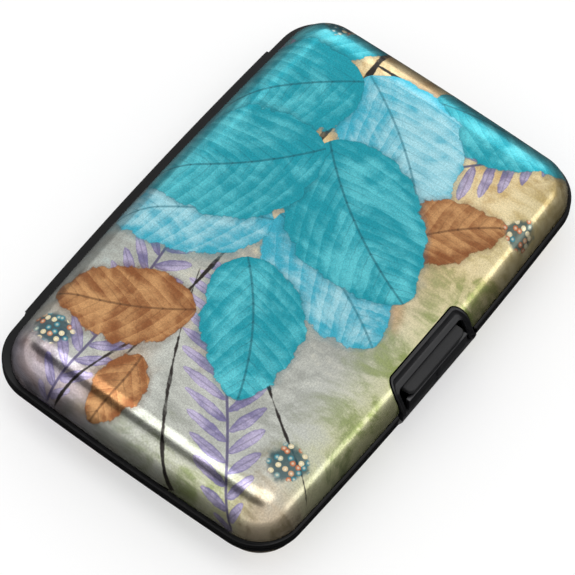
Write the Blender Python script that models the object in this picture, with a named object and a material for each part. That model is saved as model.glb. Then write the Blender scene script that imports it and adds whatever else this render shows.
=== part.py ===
"""An aluminium card holder: two pressed shells on black moulded trays, hinged along one long side.

A push button on the other long side releases a hook, and the case opens on a steel pin.
Inside, eight thin leaves fan out with the lid. Folded pleats join them into seven card pockets.
The modelling frame has its XY plane at the parting line: +X along the case, +Y towards the
hinge, +Z towards the lid. The finished case lies on its back shell.
"""

import math

import bmesh
import bpy
from mathutils import Vector

MM = 0.001

# Black band, seen from above. The sides are slightly bowed and the corners are round.
LENGTH = 110.0 * MM
WIDTH = 74.4 * MM
THICKNESS = 19.4 * MM
CORNER_RADIUS = 10.25 * MM
LONG_SIDE_BOW = 0.95 * MM
SHORT_SIDE_BOW = 0.3 * MM

# Pressed aluminium shells. Their edge stands this far above or below the parting line.
SHELL_THICKNESS = 0.5 * MM
SHELL_EDGE_HEIGHT = 1.5 * MM
SHELL_INSET_ENDS = 1.0 * MM
SHELL_INSET_LATCH = 0.7 * MM
SHELL_INSET_HINGE = 2.1 * MM

# Moulded trays, with the black band that shows between the shells.
TRAY_WALL = 0.8 * MM
TRAY_TO_SHELL = 0.3 * MM
PARTING_GAP = 0.2 * MM
BAND_HEIGHT = 1.05 * MM
BAND_ROUND = 0.3 * MM
LIP_TOP = 1.6 * MM
LIP_TO_SHELL = 0.15 * MM
REBATE_FLOOR = 1.15 * MM

# Hinge: a steel pin through interleaved knuckles, which are moulded on the trays.
HINGE_AXIS_INSET = 1.3 * MM
HINGE_LENGTH = 80.0 * MM
HINGE_BEAD_PROUD = 0.45 * MM
END_KNUCKLE_LENGTH = 12.0 * MM
MIDDLE_KNUCKLE_LENGTH = 24.0 * MM
KNUCKLE_RADIUS = 1.05 * MM
KNUCKLE_CLEARANCE = 0.25 * MM
KNUCKLE_END_GAP = 0.3 * MM
PIN_RADIUS = 0.5 * MM
PIN_CLEARANCE = 0.1 * MM
PIN_SHORT_OF_HINGE = 1.0 * MM
OPENING_ANGLE = math.radians(50.0)
RELIEF_MARGIN = math.radians(1.5)

# Latch surround on the lid. Its window is open downwards, and a cove runs round it.
BEZEL_LENGTH = 24.0 * MM
BEZEL_DEPTH = 4.8 * MM
BEZEL_CORNER = 2.2 * MM
BEZEL_PROUD = 0.15 * MM
BEZEL_SKIRT_PROUD = 0.95 * MM
BEZEL_SKIRT_HEIGHT = 4.5 * MM
BEZEL_FLARE = 0.6 * MM
BEZEL_GAP = 0.3 * MM
BEZEL_WALL = 1.2 * MM
BEZEL_LEG_DEPTH = 3.3 * MM
RIM_WIDTH = 1.4 * MM
WINDOW_DEPTH = 2.6 * MM
WINDOW_CORNER = 0.8 * MM
COVE_DEPTH = 0.55 * MM

# Push button with its hook, and the bowed steel strip that returns it.
BUTTON_SIDE_GAP = 1.5 * MM
BUTTON_INSET = 0.2 * MM
BUTTON_TOP = 5.9 * MM
BUTTON_HEIGHT = 1.4 * MM
BUTTON_CORNER = 1.3 * MM
BUTTON_EDGE = 0.2 * MM
BUTTON_TRAVEL = 1.0 * MM
WEB_THICKNESS = 1.2 * MM
WEB_TO_LEG = 0.3 * MM
EAR_LAP = 0.7 * MM
EAR_BOTTOM = 2.6 * MM
HOOK_LENGTH = 12.0 * MM
HOOK_REACH = 1.3 * MM
HOOK_HEIGHT = 1.4 * MM
HOOK_NOSE = 0.5 * MM
SPRING_LENGTH = 14.0 * MM
SPRING_HEIGHT = 1.0 * MM
SPRING_THICKNESS = 0.2 * MM
SPRING_GAP = 0.3 * MM
SPRING_WALL = 0.8 * MM
SPRING_WALL_OVERLAP = 2.0 * MM
SPRING_WALL_ROOT = 0.3 * MM

# Catch on the back half: a tongue that stands up behind the window, with a ledge for the hook.
TONGUE_SIDE_GAP = 0.8 * MM
TONGUE_INSET = 0.1 * MM
TONGUE_THICKNESS = 1.0 * MM
TONGUE_TO_BUTTON = 0.8 * MM
TONGUE_ROOT = 1.0 * MM
LEDGE_OVERLAP = 0.5 * MM
LEDGE_THICKNESS = 0.8 * MM
CATCH_CLEARANCE = 0.3 * MM
RIB_WIDTH = 1.2 * MM
RIB_HEIGHT = 2.6 * MM
RIB_PROUD = 0.45 * MM

# Pocket leaves, and the pleats that join each leaf to the next along three sides.
POCKETS = 7
LEAF_THICKNESS = 0.4 * MM
LEAF_TO_PLATE = 0.3 * MM
LEAF_TO_WALL = 0.8 * MM
LEAF_CORNER = 4.0 * MM
SCOOP_LENGTH = 24.0 * MM
SCOOP_DEPTH = 2.4 * MM
PLEAT_TO_WALL = 0.6 * MM
PLEAT_GAP = 0.3 * MM
PLEAT_DEPTH = 5.4 * MM
PLEAT_SPINE_DEPTH = 3.5 * MM
PLEAT_MOUTH_DEPTH = 2.4 * MM
PLEAT_TAPER = 3.5 * MM
PLEAT_FILM = 0.25 * MM
PLEAT_APART = 0.3 * MM

# One overrun serves every cut.
OVERRUN = 2.0 * MM

CORNER_STEPS = 6
LONG_SIDE_STEPS = 4
SHORT_SIDE_STEPS = 2
SHELL_STEPS = 7
TRAY_STEPS = 4
BAND_STEPS = 3
KNUCKLE_STEPS = 20
BORE_STEPS = 12
SCOOP_STEPS = 8
SPRING_STEPS = 10
LEG_STEPS = 8
SHARP_ANGLE = math.radians(32.0)

# Cove across the surround: how far along its width, and how deep there.
COVE_ACROSS_SHARES = (0.0, 0.14, 0.3, 0.48, 0.66, 0.84, 1.0)
COVE_DEPTH_SHARES = (0.0, 0.1, 0.7, 1.0, 0.85, 0.5, 0.2)

HALF_THICKNESS = THICKNESS / 2
HALF_LENGTH = LENGTH / 2
HALF_WIDTH = WIDTH / 2
HALF_PARTING = PARTING_GAP / 2
EDGE_RADIUS = HALF_THICKNESS - SHELL_EDGE_HEIGHT
TRAY_INSET = SHELL_THICKNESS + TRAY_TO_SHELL
TRAY_RADIUS = EDGE_RADIUS - TRAY_INSET
PLATE_TOP = HALF_THICKNESS - TRAY_INSET
PLATE_UNDERSIDE = PLATE_TOP - TRAY_WALL
SHELL_LATCH_Y = -HALF_WIDTH + SHELL_INSET_LATCH
SHELL_HINGE_Y = HALF_WIDTH - SHELL_INSET_HINGE
HINGE_Y = HALF_WIDTH - HINGE_AXIS_INSET
BORE_RADIUS = PIN_RADIUS + PIN_CLEARANCE
BEZEL_RADIUS = EDGE_RADIUS + BEZEL_PROUD
BEZEL_CENTRE_Y = SHELL_LATCH_Y + EDGE_RADIUS
BEZEL_BACK_Y = -HALF_WIDTH + BEZEL_DEPTH
WINDOW_BACK_Y = -HALF_WIDTH + WINDOW_DEPTH
LEG_BACK_Y = -HALF_WIDTH + BEZEL_LEG_DEPTH
WINDOW_LENGTH = BEZEL_LENGTH - 2 * RIM_WIDTH
BUTTON_LENGTH = WINDOW_LENGTH - 2 * BUTTON_SIDE_GAP
EAR_LENGTH = WINDOW_LENGTH + 2 * EAR_LAP
TONGUE_LENGTH = WINDOW_LENGTH - 2 * TONGUE_SIDE_GAP
LEDGE_LENGTH = HOOK_LENGTH + 2 * LEDGE_OVERLAP
SPRING_WALL_LENGTH = SPRING_LENGTH + 2 * SPRING_WALL_OVERLAP
LATCH_FACE_Y = BEZEL_CENTRE_Y - BEZEL_RADIUS - BEZEL_SKIRT_PROUD
WEB_FRONT_Y = LEG_BACK_Y + WEB_TO_LEG
WEB_BACK_Y = WEB_FRONT_Y + WEB_THICKNESS
BUTTON_FRONT_Y = -HALF_WIDTH + BUTTON_INSET
BUTTON_BOTTOM = BUTTON_TOP - BUTTON_HEIGHT
SPRING_BOW = BUTTON_TRAVEL - SPRING_GAP
SPRING_WALL_Y = WEB_BACK_Y + 2 * SPRING_GAP + SPRING_BOW + SPRING_THICKNESS
TONGUE_FACE_Y = -HALF_WIDTH + TONGUE_INSET
TONGUE_TOP = BUTTON_BOTTOM - TONGUE_TO_BUTTON
LEDGE_BOTTOM = TONGUE_TOP - LEDGE_THICKNESS
HOOK_TIP_Y = WEB_FRONT_Y - HOOK_REACH
HOOK_TOP = LEDGE_BOTTOM - CATCH_CLEARANCE
HOOK_BOTTOM = HOOK_TOP - HOOK_HEIGHT
LEDGE_END_Y = HOOK_TIP_Y - CATCH_CLEARANCE
LEAF_STACK = 2 * (PLATE_UNDERSIDE - LEAF_TO_PLATE) - LEAF_THICKNESS
LEAF_PITCH = LEAF_STACK / POCKETS
BODY_SHIFT_Y = -(HALF_WIDTH + HINGE_BEAD_PROUD + LATCH_FACE_Y) / 2

HINGE_POINT = Vector((0.0, HINGE_Y, 0.0))
BUTTON_POINT = Vector((0.0, WEB_BACK_Y, BUTTON_BOTTOM))
NO_OFFSET = Vector((0.0, 0.0, 0.0))


def wall_inset(height):
    """How far inside the shell's outline the tray's inner wall stands, at a height above the parting line."""
    radius = TRAY_RADIUS - TRAY_WALL
    rise = max(0.0, height - SHELL_EDGE_HEIGHT)
    return TRAY_INSET + TRAY_WALL + radius - math.sqrt(radius**2 - rise**2)


LEAF_WALL_INSET = wall_inset((LEAF_STACK + LEAF_THICKNESS) / 2)
PLEAT_WALL_INSET = wall_inset((LEAF_STACK - LEAF_PITCH) / 2)
PLEAT_TIP_X = HALF_LENGTH - SHELL_INSET_ENDS - SHORT_SIDE_BOW - PLEAT_WALL_INSET - PLEAT_TO_WALL
PLEAT_TIP_Y = SHELL_HINGE_Y - LONG_SIDE_BOW - PLEAT_WALL_INSET - PLEAT_TO_WALL
LEAF_HALF = PLEAT_TIP_X - PLEAT_DEPTH - PLEAT_GAP
LEAF_SPINE_Y = PLEAT_TIP_Y - PLEAT_SPINE_DEPTH - PLEAT_GAP
LEAF_MOUTH_Y = SHELL_LATCH_Y + LONG_SIDE_BOW + LEAF_WALL_INSET + LEAF_TO_WALL


def clear_scene():
    """Empties the scene of every object that it starts with."""
    for leftover in list(bpy.data.objects):
        bpy.data.objects.remove(leftover)


def make_material(name, colour, roughness, metallic):
    """A plain Principled material in the colour of one of the real ones."""
    material = bpy.data.materials.new(name)
    material.use_nodes = True
    shader = material.node_tree.nodes["Principled BSDF"]
    shader.inputs["Base Color"].default_value = (*colour, 1.0)
    shader.inputs["Roughness"].default_value = roughness
    shader.inputs["Metallic"].default_value = metallic
    material.diffuse_color = (*colour, 1.0)
    return material


def make_empty(name, place, parent):
    """An empty at a place in the modelling frame, for the pieces that move with it."""
    empty = bpy.data.objects.new(name, None)
    bpy.context.scene.collection.objects.link(empty)
    empty.parent = parent
    empty.location = place
    return empty


def link_mesh(name, shape, origin, parent, parent_place):
    """Makes an object whose origin is a point of the modelling frame, from a shape in that frame."""
    bmesh.ops.translate(shape, verts=shape.verts[:], vec=-origin)
    bmesh.ops.recalc_face_normals(shape, faces=shape.faces[:])
    mesh = bpy.data.meshes.new(name)
    shape.to_mesh(mesh)
    shape.free()
    thing = bpy.data.objects.new(name, mesh)
    bpy.context.scene.collection.objects.link(thing)
    thing.parent = parent
    thing.location = origin - parent_place
    return thing


class Half:
    """One half of the case: which way it faces, and the empty that its pieces hang on."""

    def __init__(self, name, side, empty, place):
        self.name = name
        self.side = side
        self.empty = empty
        self.place = place

    def piece(self, name, shape, material, origin=None):
        """Adds a named piece to this half, shaded smooth with sharp edges."""
        origin = self.place if origin is None else origin
        thing = link_mesh(name, shape, origin, self.empty, self.place)
        thing.data.shade_smooth()
        thing.data.set_sharp_from_angle(angle=SHARP_ANGLE)
        thing.data.materials.append(material)
        return thing

    def helper(self, name, shape):
        """Adds a cutter or an addition that only a Boolean reads."""
        helper = link_mesh(name, shape, NO_OFFSET, self.empty, self.place)
        helper.hide_render = True
        helper.display_type = "WIRE"
        return helper

    def flip(self, shape):
        """Turns a shape of the lid over when this is the back half."""
        for vertex in shape.verts:
            vertex.co.z *= self.side
        return shape


def combine(thing, helper, operation):
    """Adds one Boolean step to an object."""
    step = thing.modifiers.new(helper.name, "BOOLEAN")
    step.operation = operation
    step.solver = "EXACT"
    step.object = helper


def mirrored(pair, sign_x, sign_y):
    """A point of an outline and its normal, in another quadrant."""
    point, normal = pair
    signs = Vector((sign_x, sign_y, 1.0))
    return point * signs, normal * signs


class Outline:
    """A rectangle with bowed sides and round corners, made of tangent arcs so that offsets are exact."""

    def __init__(self, half_length, low_y, high_y, corner):
        self.middle_y = (low_y + high_y) / 2
        half_width = (high_y - low_y) / 2
        corner_x = half_length - SHORT_SIDE_BOW - corner
        corner_y = half_width - LONG_SIDE_BOW - corner
        short_reach = corner + SHORT_SIDE_BOW
        long_reach = corner + LONG_SIDE_BOW
        short_radius = (short_reach**2 + corner_y**2 - corner**2) / (2 * SHORT_SIDE_BOW)
        long_radius = (long_reach**2 + corner_x**2 - corner**2) / (2 * LONG_SIDE_BOW)
        short_turn = math.atan2(corner_y, short_radius - short_reach)
        long_turn = math.atan2(corner_x, long_radius - long_reach)
        quarter = math.pi / 2
        self.long_centre_y = self.middle_y + half_width - long_radius
        self.long_radius = long_radius
        arcs = [
            (half_length - short_radius, 0.0, short_radius, 0.0, short_turn, SHORT_SIDE_STEPS),
            (corner_x, corner_y, corner, short_turn, quarter - long_turn, CORNER_STEPS),
            (0.0, half_width - long_radius, long_radius, quarter - long_turn, quarter, LONG_SIDE_STEPS),
        ]
        self.quadrant = []
        for centre_x, centre_y, radius, start, end, steps in arcs:
            for step in range(steps):
                turn = start + (end - start) * step / steps
                normal = Vector((math.cos(turn), math.sin(turn), 0.0))
                centre = Vector((centre_x, centre_y, 0.0))
                self.quadrant.append((centre + radius * normal, normal))
        self.crown = (Vector((0.0, half_width, 0.0)), Vector((0.0, 1.0, 0.0)))

    def ring(self, inset, height):
        """The outline moved inwards by inset, as points at one height, counter-clockwise from +X."""
        first = self.quadrant + [self.crown]
        second = [mirrored(pair, -1, 1) for pair in reversed(self.quadrant)]
        third = [mirrored(pair, -1, -1) for pair in first[1:]]
        fourth = [mirrored(pair, 1, -1) for pair in reversed(self.quadrant[1:])]
        points = []
        for point, normal in first + second + third + fourth:
            moved = point - inset * normal
            points.append(Vector((moved.x, moved.y + self.middle_y, height)))
        return points

    def hinge_side_y(self, along):
        """Where the bowed hinge side lies at a place along the case."""
        return self.long_centre_y + math.sqrt(self.long_radius**2 - along**2)


BAND = Outline(HALF_LENGTH, -HALF_WIDTH, HALF_WIDTH, CORNER_RADIUS)
SHELL = Outline(
    HALF_LENGTH - SHELL_INSET_ENDS, SHELL_LATCH_Y, SHELL_HINGE_Y, CORNER_RADIUS - SHELL_INSET_ENDS
)


def loft(rings):
    """Joins rings of equal count into one closed surface with flat ends."""
    shape = bmesh.new()
    rows = [[shape.verts.new(point) for point in ring] for ring in rings]
    count = len(rows[0])
    for lower, upper in zip(rows, rows[1:]):
        for index in range(count):
            after = (index + 1) % count
            shape.faces.new((lower[index], lower[after], upper[after], upper[index]))
    shape.faces.new(rows[0])
    shape.faces.new(rows[-1])
    return shape


def prism_along(points, low, high):
    """A closed outline of (y, z) values, extruded along X."""
    return loft([[Vector((along, y, z)) for y, z in points] for along in (low, high)])


def prism_up(points, low, high):
    """A closed outline of (x, y) values, extruded along Z."""
    return loft([[Vector((x, y, height)) for x, y in points] for height in (low, high)])


def block(length, low_y, high_y, low_z, high_z):
    """A rectangular block, centred along X."""
    corners = [(low_y, low_z), (high_y, low_z), (high_y, high_z), (low_y, high_z)]
    return prism_along(corners, -length / 2, length / 2)


def rod(radius, low_x, high_x, steps):
    """A round bar along X on the hinge axis."""
    circle = []
    for step in range(steps):
        turn = 2 * math.pi * (step + 0.5) / steps
        circle.append((HINGE_Y + radius * math.cos(turn), radius * math.sin(turn)))
    return prism_along(circle, low_x, high_x)


def edge_arc(radius, steps):
    """Inset from the arc's own outer edge, and height, along the quarter round of a shell edge."""
    for step in range(steps + 1):
        turn = math.pi / 2 * step / steps
        yield radius * (1 - math.cos(turn)), SHELL_EDGE_HEIGHT + radius * math.sin(turn)


def notch_points(margin):
    """The latch notch from above, with round back corners, grown by margin."""
    half = BEZEL_LENGTH / 2 + margin
    back = BEZEL_BACK_Y + margin
    corner = BEZEL_CORNER + margin
    points = [(-half, -HALF_WIDTH - OVERRUN), (half, -HALF_WIDTH - OVERRUN)]
    for step in range(CORNER_STEPS + 1):
        turn = math.pi / 2 * step / CORNER_STEPS
        points.append((half - corner + corner * math.cos(turn), back - corner + corner * math.sin(turn)))
    points += [(-x, y) for x, y in reversed(points[2:])]
    return points


def cut_notch(half, thing, margin):
    """Cuts the room for the latch surround out of a shell or a tray."""
    room = prism_up(notch_points(margin), -THICKNESS, THICKNESS)
    combine(thing, half.helper(f"{thing.name}_notch", room), "DIFFERENCE")


def make_shell(half, material):
    """One pressed shell, with its notch for the latch."""
    inner_radius = EDGE_RADIUS - SHELL_THICKNESS
    inner = [SHELL.ring(SHELL_THICKNESS + inset, z) for inset, z in edge_arc(inner_radius, TRAY_STEPS)]
    outer = [SHELL.ring(inset, z) for inset, z in edge_arc(EDGE_RADIUS, SHELL_STEPS)]
    shell = half.piece(f"{half.name}_shell", half.flip(loft(inner[::-1] + outer)), material)
    cut_notch(half, shell, BEZEL_GAP)


def tray_blank():
    """A tray before its hinge and latch are cut: the plate, the wall, the band, the lip and the rebate."""
    inner_inset = TRAY_INSET + TRAY_WALL
    rings = [SHELL.ring(inner_inset + inset, z) for inset, z in edge_arc(TRAY_RADIUS - TRAY_WALL, TRAY_STEPS)]
    rings.reverse()
    rings.append(SHELL.ring(inner_inset, HALF_PARTING))
    rings.append(BAND.ring(0.0, HALF_PARTING))
    for step in range(BAND_STEPS + 1):
        turn = math.pi / 2 * step / BAND_STEPS
        rings.append(BAND.ring(BAND_ROUND * (1 - math.cos(turn)), BAND_HEIGHT + BAND_ROUND * math.sin(turn)))
    rings.append(SHELL.ring(-LIP_TO_SHELL, LIP_TOP))
    rings.append(SHELL.ring(-LIP_TO_SHELL, REBATE_FLOOR))
    rings.append(SHELL.ring(TRAY_INSET, REBATE_FLOOR))
    rings += [SHELL.ring(TRAY_INSET + inset, z) for inset, z in edge_arc(TRAY_RADIUS, TRAY_STEPS)]
    return loft(rings)


def knuckle_spans():
    """Where each half's knuckles lie along X, as (low, high) pairs for the back and for the lid."""
    end = HINGE_LENGTH / 2
    inner_end = end - END_KNUCKLE_LENGTH
    middle = MIDDLE_KNUCKLE_LENGTH / 2
    trim = KNUCKLE_END_GAP / 2
    back = [(-end, -inner_end - trim), (-middle + trim, middle - trim), (inner_end + trim, end)]
    lid = [(-inner_end + trim, -middle - trim), (middle + trim, inner_end - trim)]
    return back, lid


def hinge_bead():
    """The bead that runs along the hinge, proud of the band and bowed like it."""
    half = HINGE_LENGTH / 2
    points = []
    for step in range(LONG_SIDE_STEPS * 2 + 1):
        along = half - 2 * half * step / (LONG_SIDE_STEPS * 2)
        points.append((along, BAND.hinge_side_y(along) + HINGE_BEAD_PROUD))
    points += [(-half, HINGE_Y), (half, HINGE_Y)]
    return prism_up(points, HALF_PARTING, BAND_HEIGHT)


def relief_wedge():
    """The room beyond the hinge axis that lets the halves open."""
    reach = HINGE_AXIS_INSET + OVERRUN
    rise = reach * math.tan(OPENING_ANGLE / 2 + RELIEF_MARGIN)
    points = [
        (HINGE_Y, -OVERRUN),
        (HINGE_Y + reach, -OVERRUN),
        (HINGE_Y + reach, HALF_PARTING + rise),
        (HINGE_Y, HALF_PARTING),
    ]
    return prism_along(points, -HALF_LENGTH, HALF_LENGTH)


def make_tray(half, own_spans, other_spans, material):
    """One moulded tray with its knuckles, their clearances and the bore for the pin."""
    name = f"{half.name}_tray"
    tray = half.piece(name, half.flip(tray_blank()), material)
    combine(tray, half.helper(f"{name}_bead", half.flip(hinge_bead())), "UNION")
    combine(tray, half.helper(f"{name}_relief", half.flip(relief_wedge())), "DIFFERENCE")
    room_radius = KNUCKLE_RADIUS + KNUCKLE_CLEARANCE
    for number, (low, high) in enumerate(other_spans, 1):
        room = rod(room_radius, low - KNUCKLE_END_GAP, high + KNUCKLE_END_GAP, KNUCKLE_STEPS)
        combine(tray, half.helper(f"{name}_room_{number}", room), "DIFFERENCE")
    for number, (low, high) in enumerate(own_spans, 1):
        knuckle = rod(KNUCKLE_RADIUS, low, high, KNUCKLE_STEPS)
        combine(tray, half.helper(f"{name}_knuckle_{number}", knuckle), "UNION")
    reach = HINGE_LENGTH / 2 + OVERRUN
    bore = rod(BORE_RADIUS, -reach, reach, BORE_STEPS)
    combine(tray, half.helper(f"{name}_bore", bore), "DIFFERENCE")
    cut_notch(half, tray, BEZEL_GAP + BEZEL_FLARE)
    return tray


def add_spring_wall(half, tray):
    """The wall inside the lid that the button's spring pushes against."""
    top = PLATE_UNDERSIDE - SPRING_WALL_ROOT
    wall = block(SPRING_WALL_LENGTH, SPRING_WALL_Y, SPRING_WALL_Y + SPRING_WALL, BUTTON_BOTTOM, top)
    combine(tray, half.helper("spring_wall", wall), "UNION")


def make_hinge_pin(half, material):
    """The steel pin, a little shorter than the row of knuckles."""
    reach = HINGE_LENGTH / 2 - PIN_SHORT_OF_HINGE
    half.piece("hinge_pin", rod(PIN_RADIUS, -reach, reach, BORE_STEPS), material, HINGE_POINT)


def smooth_share(value):
    """An S-curve from 0 to 1 for a value from 0 to 1."""
    value = min(1.0, max(0.0, value))
    return value * value * (3 - 2 * value)


def skirt_share(height):
    """How much of the surround's flare is left at a height, 1 at the parting line."""
    return 1 - smooth_share(height / BEZEL_SKIRT_HEIGHT)


def bezel_face(height):
    """The Y of the latch surround's outer face at a height above the parting line."""
    rise = max(0.0, height - SHELL_EDGE_HEIGHT)
    face = BEZEL_CENTRE_Y - math.sqrt(BEZEL_RADIUS**2 - rise**2)
    return face - BEZEL_SKIRT_PROUD * skirt_share(height)


def bezel_height(face_y):
    """The height at which the round part of the surround's face has this Y."""
    return SHELL_EDGE_HEIGHT + math.sqrt(BEZEL_RADIUS**2 - (BEZEL_CENTRE_Y - face_y) ** 2)


def surround_path(half_length, back, corner, flare):
    """The surround's path, up one leg, round the window's top and down the other, on its face.

    Each point comes with a weight that is 0 on a leg and 1 along the top.
    """
    shoulder = bezel_height(back - corner)
    path = []
    for step in range(LEG_STEPS):
        height = HALF_PARTING + (shoulder - HALF_PARTING) * step / LEG_STEPS
        along = half_length + flare * (1 - smooth_share(height / SHELL_EDGE_HEIGHT))
        path.append((Vector((along, bezel_face(height), height)), 0.0))
    for step in range(CORNER_STEPS + 1):
        turn = math.pi / 2 * step / CORNER_STEPS
        along = half_length - corner + corner * math.cos(turn)
        face_y = back - corner + corner * math.sin(turn)
        path.append((Vector((along, face_y, bezel_height(face_y))), step / CORNER_STEPS))
    return path + [(Vector((-p.x, p.y, p.z)), weight) for p, weight in reversed(path)]


def into_case(point):
    """The unit vector from a point of the surround's face towards the middle of its curve."""
    rise = max(0.0, point.z - SHELL_EDGE_HEIGHT)
    return Vector((0.0, BEZEL_CENTRE_Y - point.y, -rise)).normalized()


def front_bezel_shape():
    """The lid's surround as one swept section: rim, cove, window edge and back."""
    outer = surround_path(BEZEL_LENGTH / 2, BEZEL_BACK_Y, BEZEL_CORNER, BEZEL_FLARE)
    inner = surround_path(WINDOW_LENGTH / 2, WINDOW_BACK_Y, WINDOW_CORNER, 0.0)
    roof = BUTTON_TOP + BEZEL_GAP
    rings = []
    for (rim, weight), (edge, _) in zip(outer, inner):
        section = []
        for across, depth in zip(COVE_ACROSS_SHARES, COVE_DEPTH_SHARES):
            point = rim.lerp(edge, across)
            section.append(point + COVE_DEPTH * depth * into_case(point))
        for point in (section[-1], section[0]):
            back_y = max(LEG_BACK_Y, point.y + BEZEL_WALL * (1 - weight) ** 2)
            under_y = back_y + (point.y - back_y) * weight
            under_z = point.z + (roof - point.z) * weight
            section.append(Vector((point.x, under_y, under_z)))
        rings.append(section)
    return loft(rings)


def back_bezel_shape():
    """The back half's surround: a curved plate of even wall, with the lid's outline and no window."""
    path = surround_path(BEZEL_LENGTH / 2, BEZEL_BACK_Y, BEZEL_CORNER, BEZEL_FLARE)
    across = Vector((-1.0, 1.0, 1.0))
    rings = []
    for face, _ in path[: len(path) // 2]:
        lining = face + BEZEL_WALL * into_case(face)
        lining.y = min(lining.y, BEZEL_BACK_Y)
        rings.append([face, lining, lining * across, face * across])
    return loft(rings)


def make_back_bezel(half, material):
    """The back half's surround, with the tongue and ledge that the hook holds."""
    bezel = half.piece("back_bezel", half.flip(back_bezel_shape()), material)
    tongue_back_y = TONGUE_FACE_Y + TONGUE_THICKNESS
    tongue = block(TONGUE_LENGTH, TONGUE_FACE_Y, tongue_back_y, -TONGUE_ROOT, TONGUE_TOP)
    combine(bezel, half.helper("catch_tongue", tongue), "UNION")
    ledge = block(LEDGE_LENGTH, TONGUE_FACE_Y + TONGUE_THICKNESS / 2, LEDGE_END_Y, LEDGE_BOTTOM, TONGUE_TOP)
    combine(bezel, half.helper("catch_ledge", ledge), "UNION")
    wedge = [
        (TONGUE_FACE_Y - RIB_PROUD, TONGUE_TOP - RIB_HEIGHT),
        (TONGUE_FACE_Y + TONGUE_THICKNESS / 2, TONGUE_TOP - RIB_HEIGHT),
        (TONGUE_FACE_Y + TONGUE_THICKNESS / 2, TONGUE_TOP - RIB_PROUD),
        (TONGUE_FACE_Y, TONGUE_TOP - RIB_PROUD),
    ]
    rib = prism_along(wedge, -RIB_WIDTH / 2, RIB_WIDTH / 2)
    combine(bezel, half.helper("catch_rib", rib), "UNION")


def button_ring(inset, height):
    """The button's outline from above, with round front corners, moved inwards by inset."""
    half = BUTTON_LENGTH / 2 - inset
    front = BUTTON_FRONT_Y + inset
    corner = BUTTON_CORNER - inset
    points = [Vector((half, WEB_BACK_Y, height))]
    for step in range(CORNER_STEPS + 1):
        turn = math.pi / 2 * step / CORNER_STEPS
        along = half - corner + corner * math.cos(turn)
        points.append(Vector((along, front + corner - corner * math.sin(turn), height)))
    return points + [Vector((-p.x, p.y, p.z)) for p in reversed(points)]


def make_button(half, material):
    """The push button: a thumb plate, ears that hold it behind the window, and the hook."""
    plate = loft(
        [
            button_ring(BUTTON_EDGE, BUTTON_BOTTOM),
            button_ring(0.0, BUTTON_BOTTOM + BUTTON_EDGE),
            button_ring(0.0, BUTTON_TOP - BUTTON_EDGE),
            button_ring(BUTTON_EDGE, BUTTON_TOP),
        ]
    )
    button = half.piece("latch_button", plate, material, BUTTON_POINT)
    ears = block(EAR_LENGTH, WEB_FRONT_Y, WEB_BACK_Y - BUTTON_EDGE, EAR_BOTTOM, BUTTON_TOP - BUTTON_EDGE)
    combine(button, half.helper("latch_ears", ears), "UNION")
    arm = [
        (WEB_BACK_Y - BUTTON_EDGE, HOOK_BOTTOM),
        (WEB_BACK_Y - BUTTON_EDGE, BUTTON_BOTTOM + BUTTON_EDGE),
        (WEB_FRONT_Y + BUTTON_EDGE, BUTTON_BOTTOM + BUTTON_EDGE),
        (WEB_FRONT_Y + BUTTON_EDGE, HOOK_TOP),
        (HOOK_TIP_Y, HOOK_TOP),
        (HOOK_TIP_Y, HOOK_TOP - HOOK_NOSE),
        (WEB_FRONT_Y + BUTTON_EDGE, HOOK_BOTTOM),
    ]
    hook = prism_along(arm, -HOOK_LENGTH / 2, HOOK_LENGTH / 2)
    combine(button, half.helper("latch_hook", hook), "UNION")


def make_spring(half, material):
    """The bowed steel strip between the button and the wall behind it."""
    middle_y = WEB_BACK_Y + SPRING_GAP
    near, far = [], []
    for step in range(SPRING_STEPS + 1):
        share = 2 * step / SPRING_STEPS - 1
        along = share * SPRING_LENGTH / 2
        near.append((along, middle_y + SPRING_BOW * share**2))
        far.append((along, middle_y + SPRING_THICKNESS + SPRING_BOW * share**2))
    low = BUTTON_BOTTOM + (BUTTON_HEIGHT - SPRING_HEIGHT) / 2
    half.piece("latch_spring", prism_up(near + far[::-1], low, low + SPRING_HEIGHT), material)


def leaf_height(number):
    """The height of a leaf's mid plane, counted from 1 at the back."""
    return (number - 1) * LEAF_PITCH - LEAF_STACK / 2


def leaf_points():
    """A leaf from above: round corners, and a thumb scoop in its mouth."""
    points = [(0.0, LEAF_MOUTH_Y + SCOOP_DEPTH)]
    for step in range(1, SCOOP_STEPS + 1):
        share = step / SCOOP_STEPS
        dip = SCOOP_DEPTH * (1 + math.cos(math.pi * share)) / 2
        points.append((share * SCOOP_LENGTH / 2, LEAF_MOUTH_Y + dip))
    middle_x = LEAF_HALF - LEAF_CORNER
    corners = [(LEAF_MOUTH_Y + LEAF_CORNER, -math.pi / 2), (LEAF_SPINE_Y - LEAF_CORNER, 0.0)]
    for middle_y, start in corners:
        for step in range(CORNER_STEPS + 1):
            turn = start + math.pi / 2 * step / CORNER_STEPS
            points.append((middle_x + LEAF_CORNER * math.cos(turn), middle_y + LEAF_CORNER * math.sin(turn)))
    return points + [(-x, y) for x, y in reversed(points[1:])]


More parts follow.
